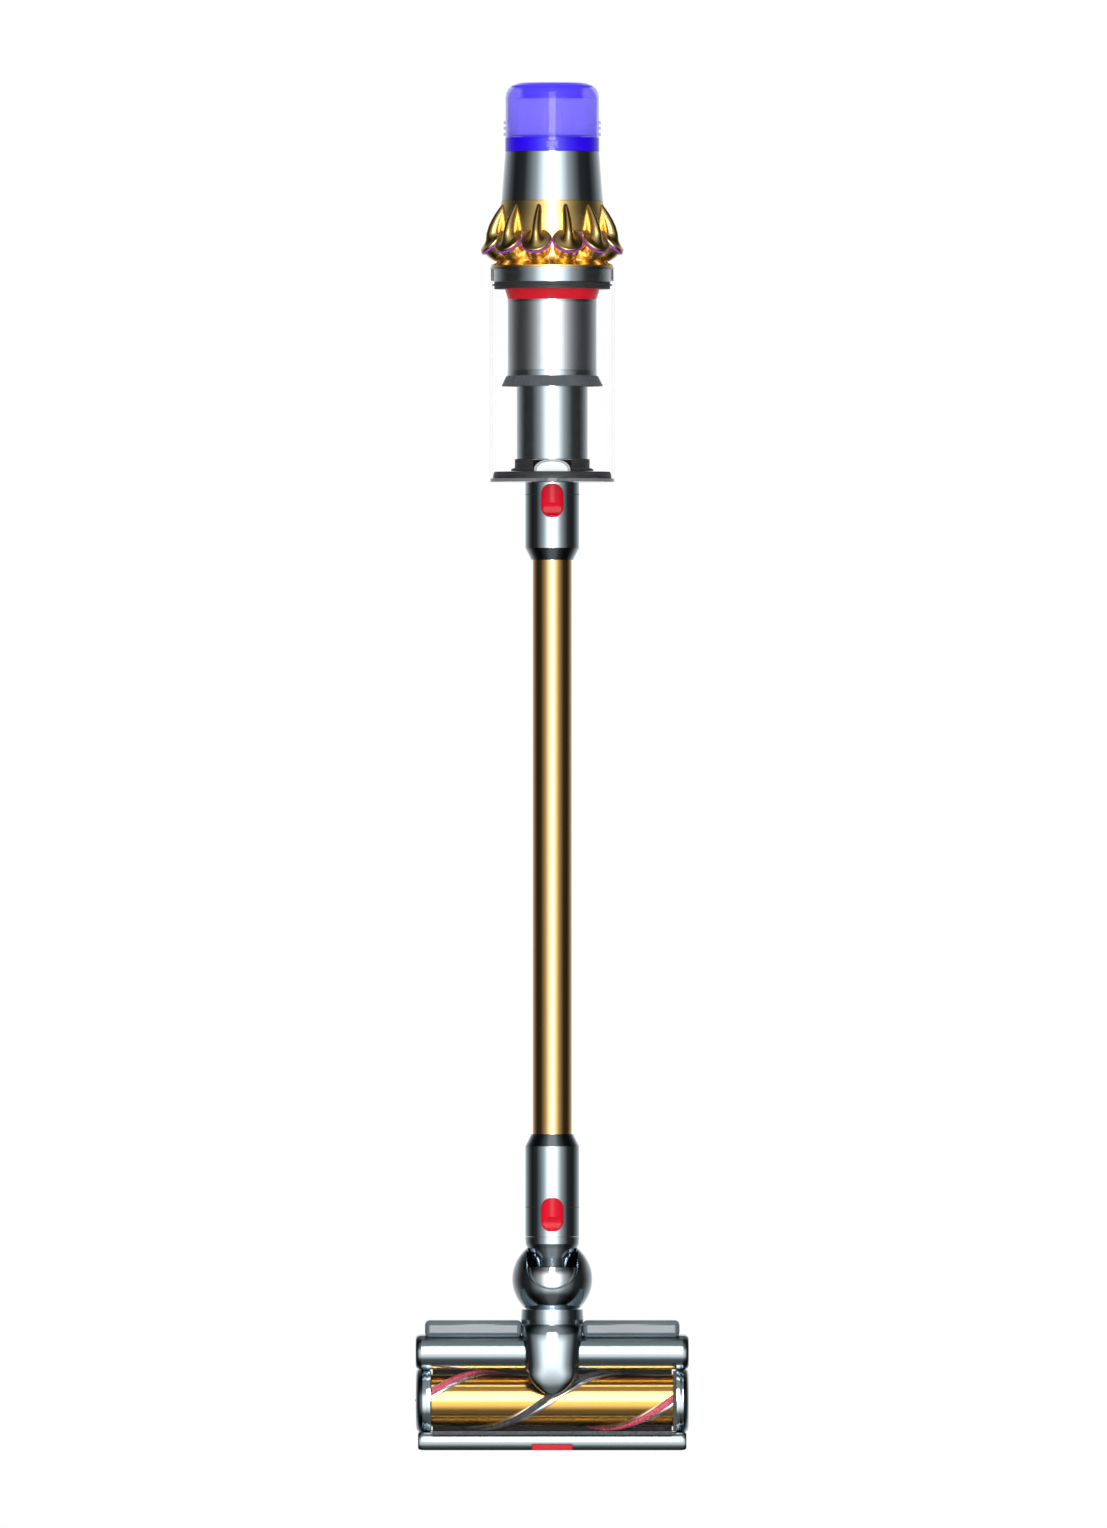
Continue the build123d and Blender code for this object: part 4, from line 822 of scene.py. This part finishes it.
# ------------------------------------------------------------------ studio
def studio_world():
    """A white backdrop with a softbox in front and darker flanks, so that metal reads as metal."""
    world = bpy.data.worlds.new("studio")
    bpy.context.scene.world = world
    world.use_nodes = True
    tree = world.node_tree
    tree.nodes.clear()
    place = node(tree, "ShaderNodeTexCoord")
    axes = node(tree, "ShaderNodeSeparateXYZ")
    tree.links.new(place.outputs["Generated"], axes.inputs["Vector"])
    back = node(tree, "ShaderNodeMath", operation="MULTIPLY")
    back.inputs[1].default_value = -1
    tree.links.new(axes.outputs["Y"], back.inputs[0])
    turn = node(tree, "ShaderNodeMath", operation="ARCTAN2")
    tree.links.new(axes.outputs["X"], turn.inputs[0])
    tree.links.new(back.outputs[0], turn.inputs[1])
    size = node(tree, "ShaderNodeMath", operation="ABSOLUTE")
    tree.links.new(turn.outputs[0], size.inputs[0])
    part = node(tree, "ShaderNodeMath", operation="DIVIDE")
    part.inputs[1].default_value = math.pi
    tree.links.new(size.outputs[0], part.inputs[0])
    round_ramp = ramp(tree, part.outputs[0], tuple(
        (position, (value, value, value * 1.01)) for position, value in AROUND))
    height = spread(tree, axes.outputs["Z"], 0, 1)
    height.inputs["From Min"].default_value = -1
    height_ramp = ramp(tree, height.outputs["Result"], tuple((p, (v, v, v)) for p, v in UPWARD))
    product = node(tree, "ShaderNodeMix", data_type="RGBA", blend_type="MULTIPLY")
    product.inputs["Factor"].default_value = 1.0
    tree.links.new(round_ramp.outputs["Color"], product.inputs["A"])
    tree.links.new(height_ramp.outputs["Color"], product.inputs["B"])
    room = node(tree, "ShaderNodeBackground")
    room.inputs["Strength"].default_value = 1.7
    tree.links.new(product.outputs["Result"], room.inputs["Color"])
    paper = node(tree, "ShaderNodeBackground")
    paper.inputs["Color"].default_value = (1, 1, 1, 1)
    seen = node(tree, "ShaderNodeLightPath")
    choice = node(tree, "ShaderNodeMixShader")
    tree.links.new(seen.outputs["Is Camera Ray"], choice.inputs["Fac"])
    tree.links.new(room.outputs["Background"], choice.inputs[1])
    tree.links.new(paper.outputs["Background"], choice.inputs[2])
    output = node(tree, "ShaderNodeOutputWorld")
    tree.links.new(choice.outputs["Shader"], output.inputs["Surface"])


# brightness round the object, from straight in front (0) to straight behind (1)
AROUND = ((0.0, 1.0), (0.10, 1.0), (0.16, 0.60), (0.21, 0.30), (0.30, 0.12), (0.38, 0.02), (0.55, 0.01),
          (0.64, 0.06), (0.76, 0.22), (1.0, 0.6))
# brightness from straight down (0) to straight up (1)
UPWARD = ((0.0, 0.06), (0.16, 0.10), (0.32, 0.9), (0.40, 1.0), (0.60, 1.0), (0.72, 0.20), (1.0, 0.22))
studio_world()


def soft_light(name, place, aim, size, power):
    lamp = bpy.data.lights.new(name, "AREA")
    lamp.energy = power
    lamp.shape = "RECTANGLE"
    lamp.size, lamp.size_y = size
    holder = bpy.data.objects.new(name, lamp)
    bpy.context.scene.collection.objects.link(holder)
    holder.location = place
    holder.rotation_euler = (aim - place).to_track_quat("-Z", "Y").to_euler()
    return holder


middle = (cad_box[0] + cad_box[1]) / 2
soft_light("front_softbox", middle + Vector((0, -3.2, 0.5)), middle, (0.9, 2.4), 45)
overhead = soft_light("overhead_fill", middle + Vector((0, -1.5, 9.0)), middle, (12.0, 12.0), 1700)
overhead.visible_glossy = False
rear = soft_light("rear_fill", middle + Vector((1.5, 5.0, 2.5)), middle, (3.0, 3.0), 160)
rear.visible_glossy = False

# the floor lies under the lowest point that the head reaches when the wand is drawn off
FLOOR_DROP, FLOOR_RADIUS, FLOOR_SIDES = 0.40, 9, 96
floor_mesh = bpy.data.meshes.new("floor")
floor_z = HEAD_Z - FLOOR_DROP
rim = []
for step in range(FLOOR_SIDES):
    swing = math.tau * step / FLOOR_SIDES
    rim.append((FLOOR_RADIUS * math.cos(swing), FLOOR_RADIUS * math.sin(swing), floor_z))
floor_mesh.from_pydata(rim, [], [tuple(range(FLOOR_SIDES))])
floor = bpy.data.objects.new("floor", floor_mesh)
bpy.context.scene.collection.objects.link(floor)
floor_material, floor_tree, floor_shader = new_material("pale_floor")
floor_drift = noise(floor_tree, 2, 2.0)
faint = ramp(floor_tree, floor_drift.outputs["Fac"], ((0.3, (0.84, 0.84, 0.85)), (0.7, (0.87, 0.87, 0.87))))
floor_tree.links.new(faint.outputs["Color"], floor_shader.inputs["Base Color"])
floor_shader.inputs["Roughness"].default_value = 0.8
floor.data.materials.append(floor_material)
floor.visible_glossy = False

# ------------------------------------------------------------------ camera
FRAME_HEIGHT = 1.4287
LENS, SENSOR = 600.0, 36.0
camera_data = bpy.data.cameras.new("camera")
camera_data.lens = LENS
camera_data.sensor_width = SENSOR
camera = bpy.data.objects.new("camera", camera_data)
bpy.context.scene.collection.objects.link(camera)
distance = FRAME_HEIGHT * LENS / SENSOR
camera.location = at(1.2, 0, 641.4) + Vector((0, -distance, 0))
camera.rotation_euler = (math.pi / 2, 0, 0)
camera_data.clip_start, camera_data.clip_end = 1, 200
bpy.context.scene.camera = camera
bpy.context.scene.view_settings.view_transform = "Standard"
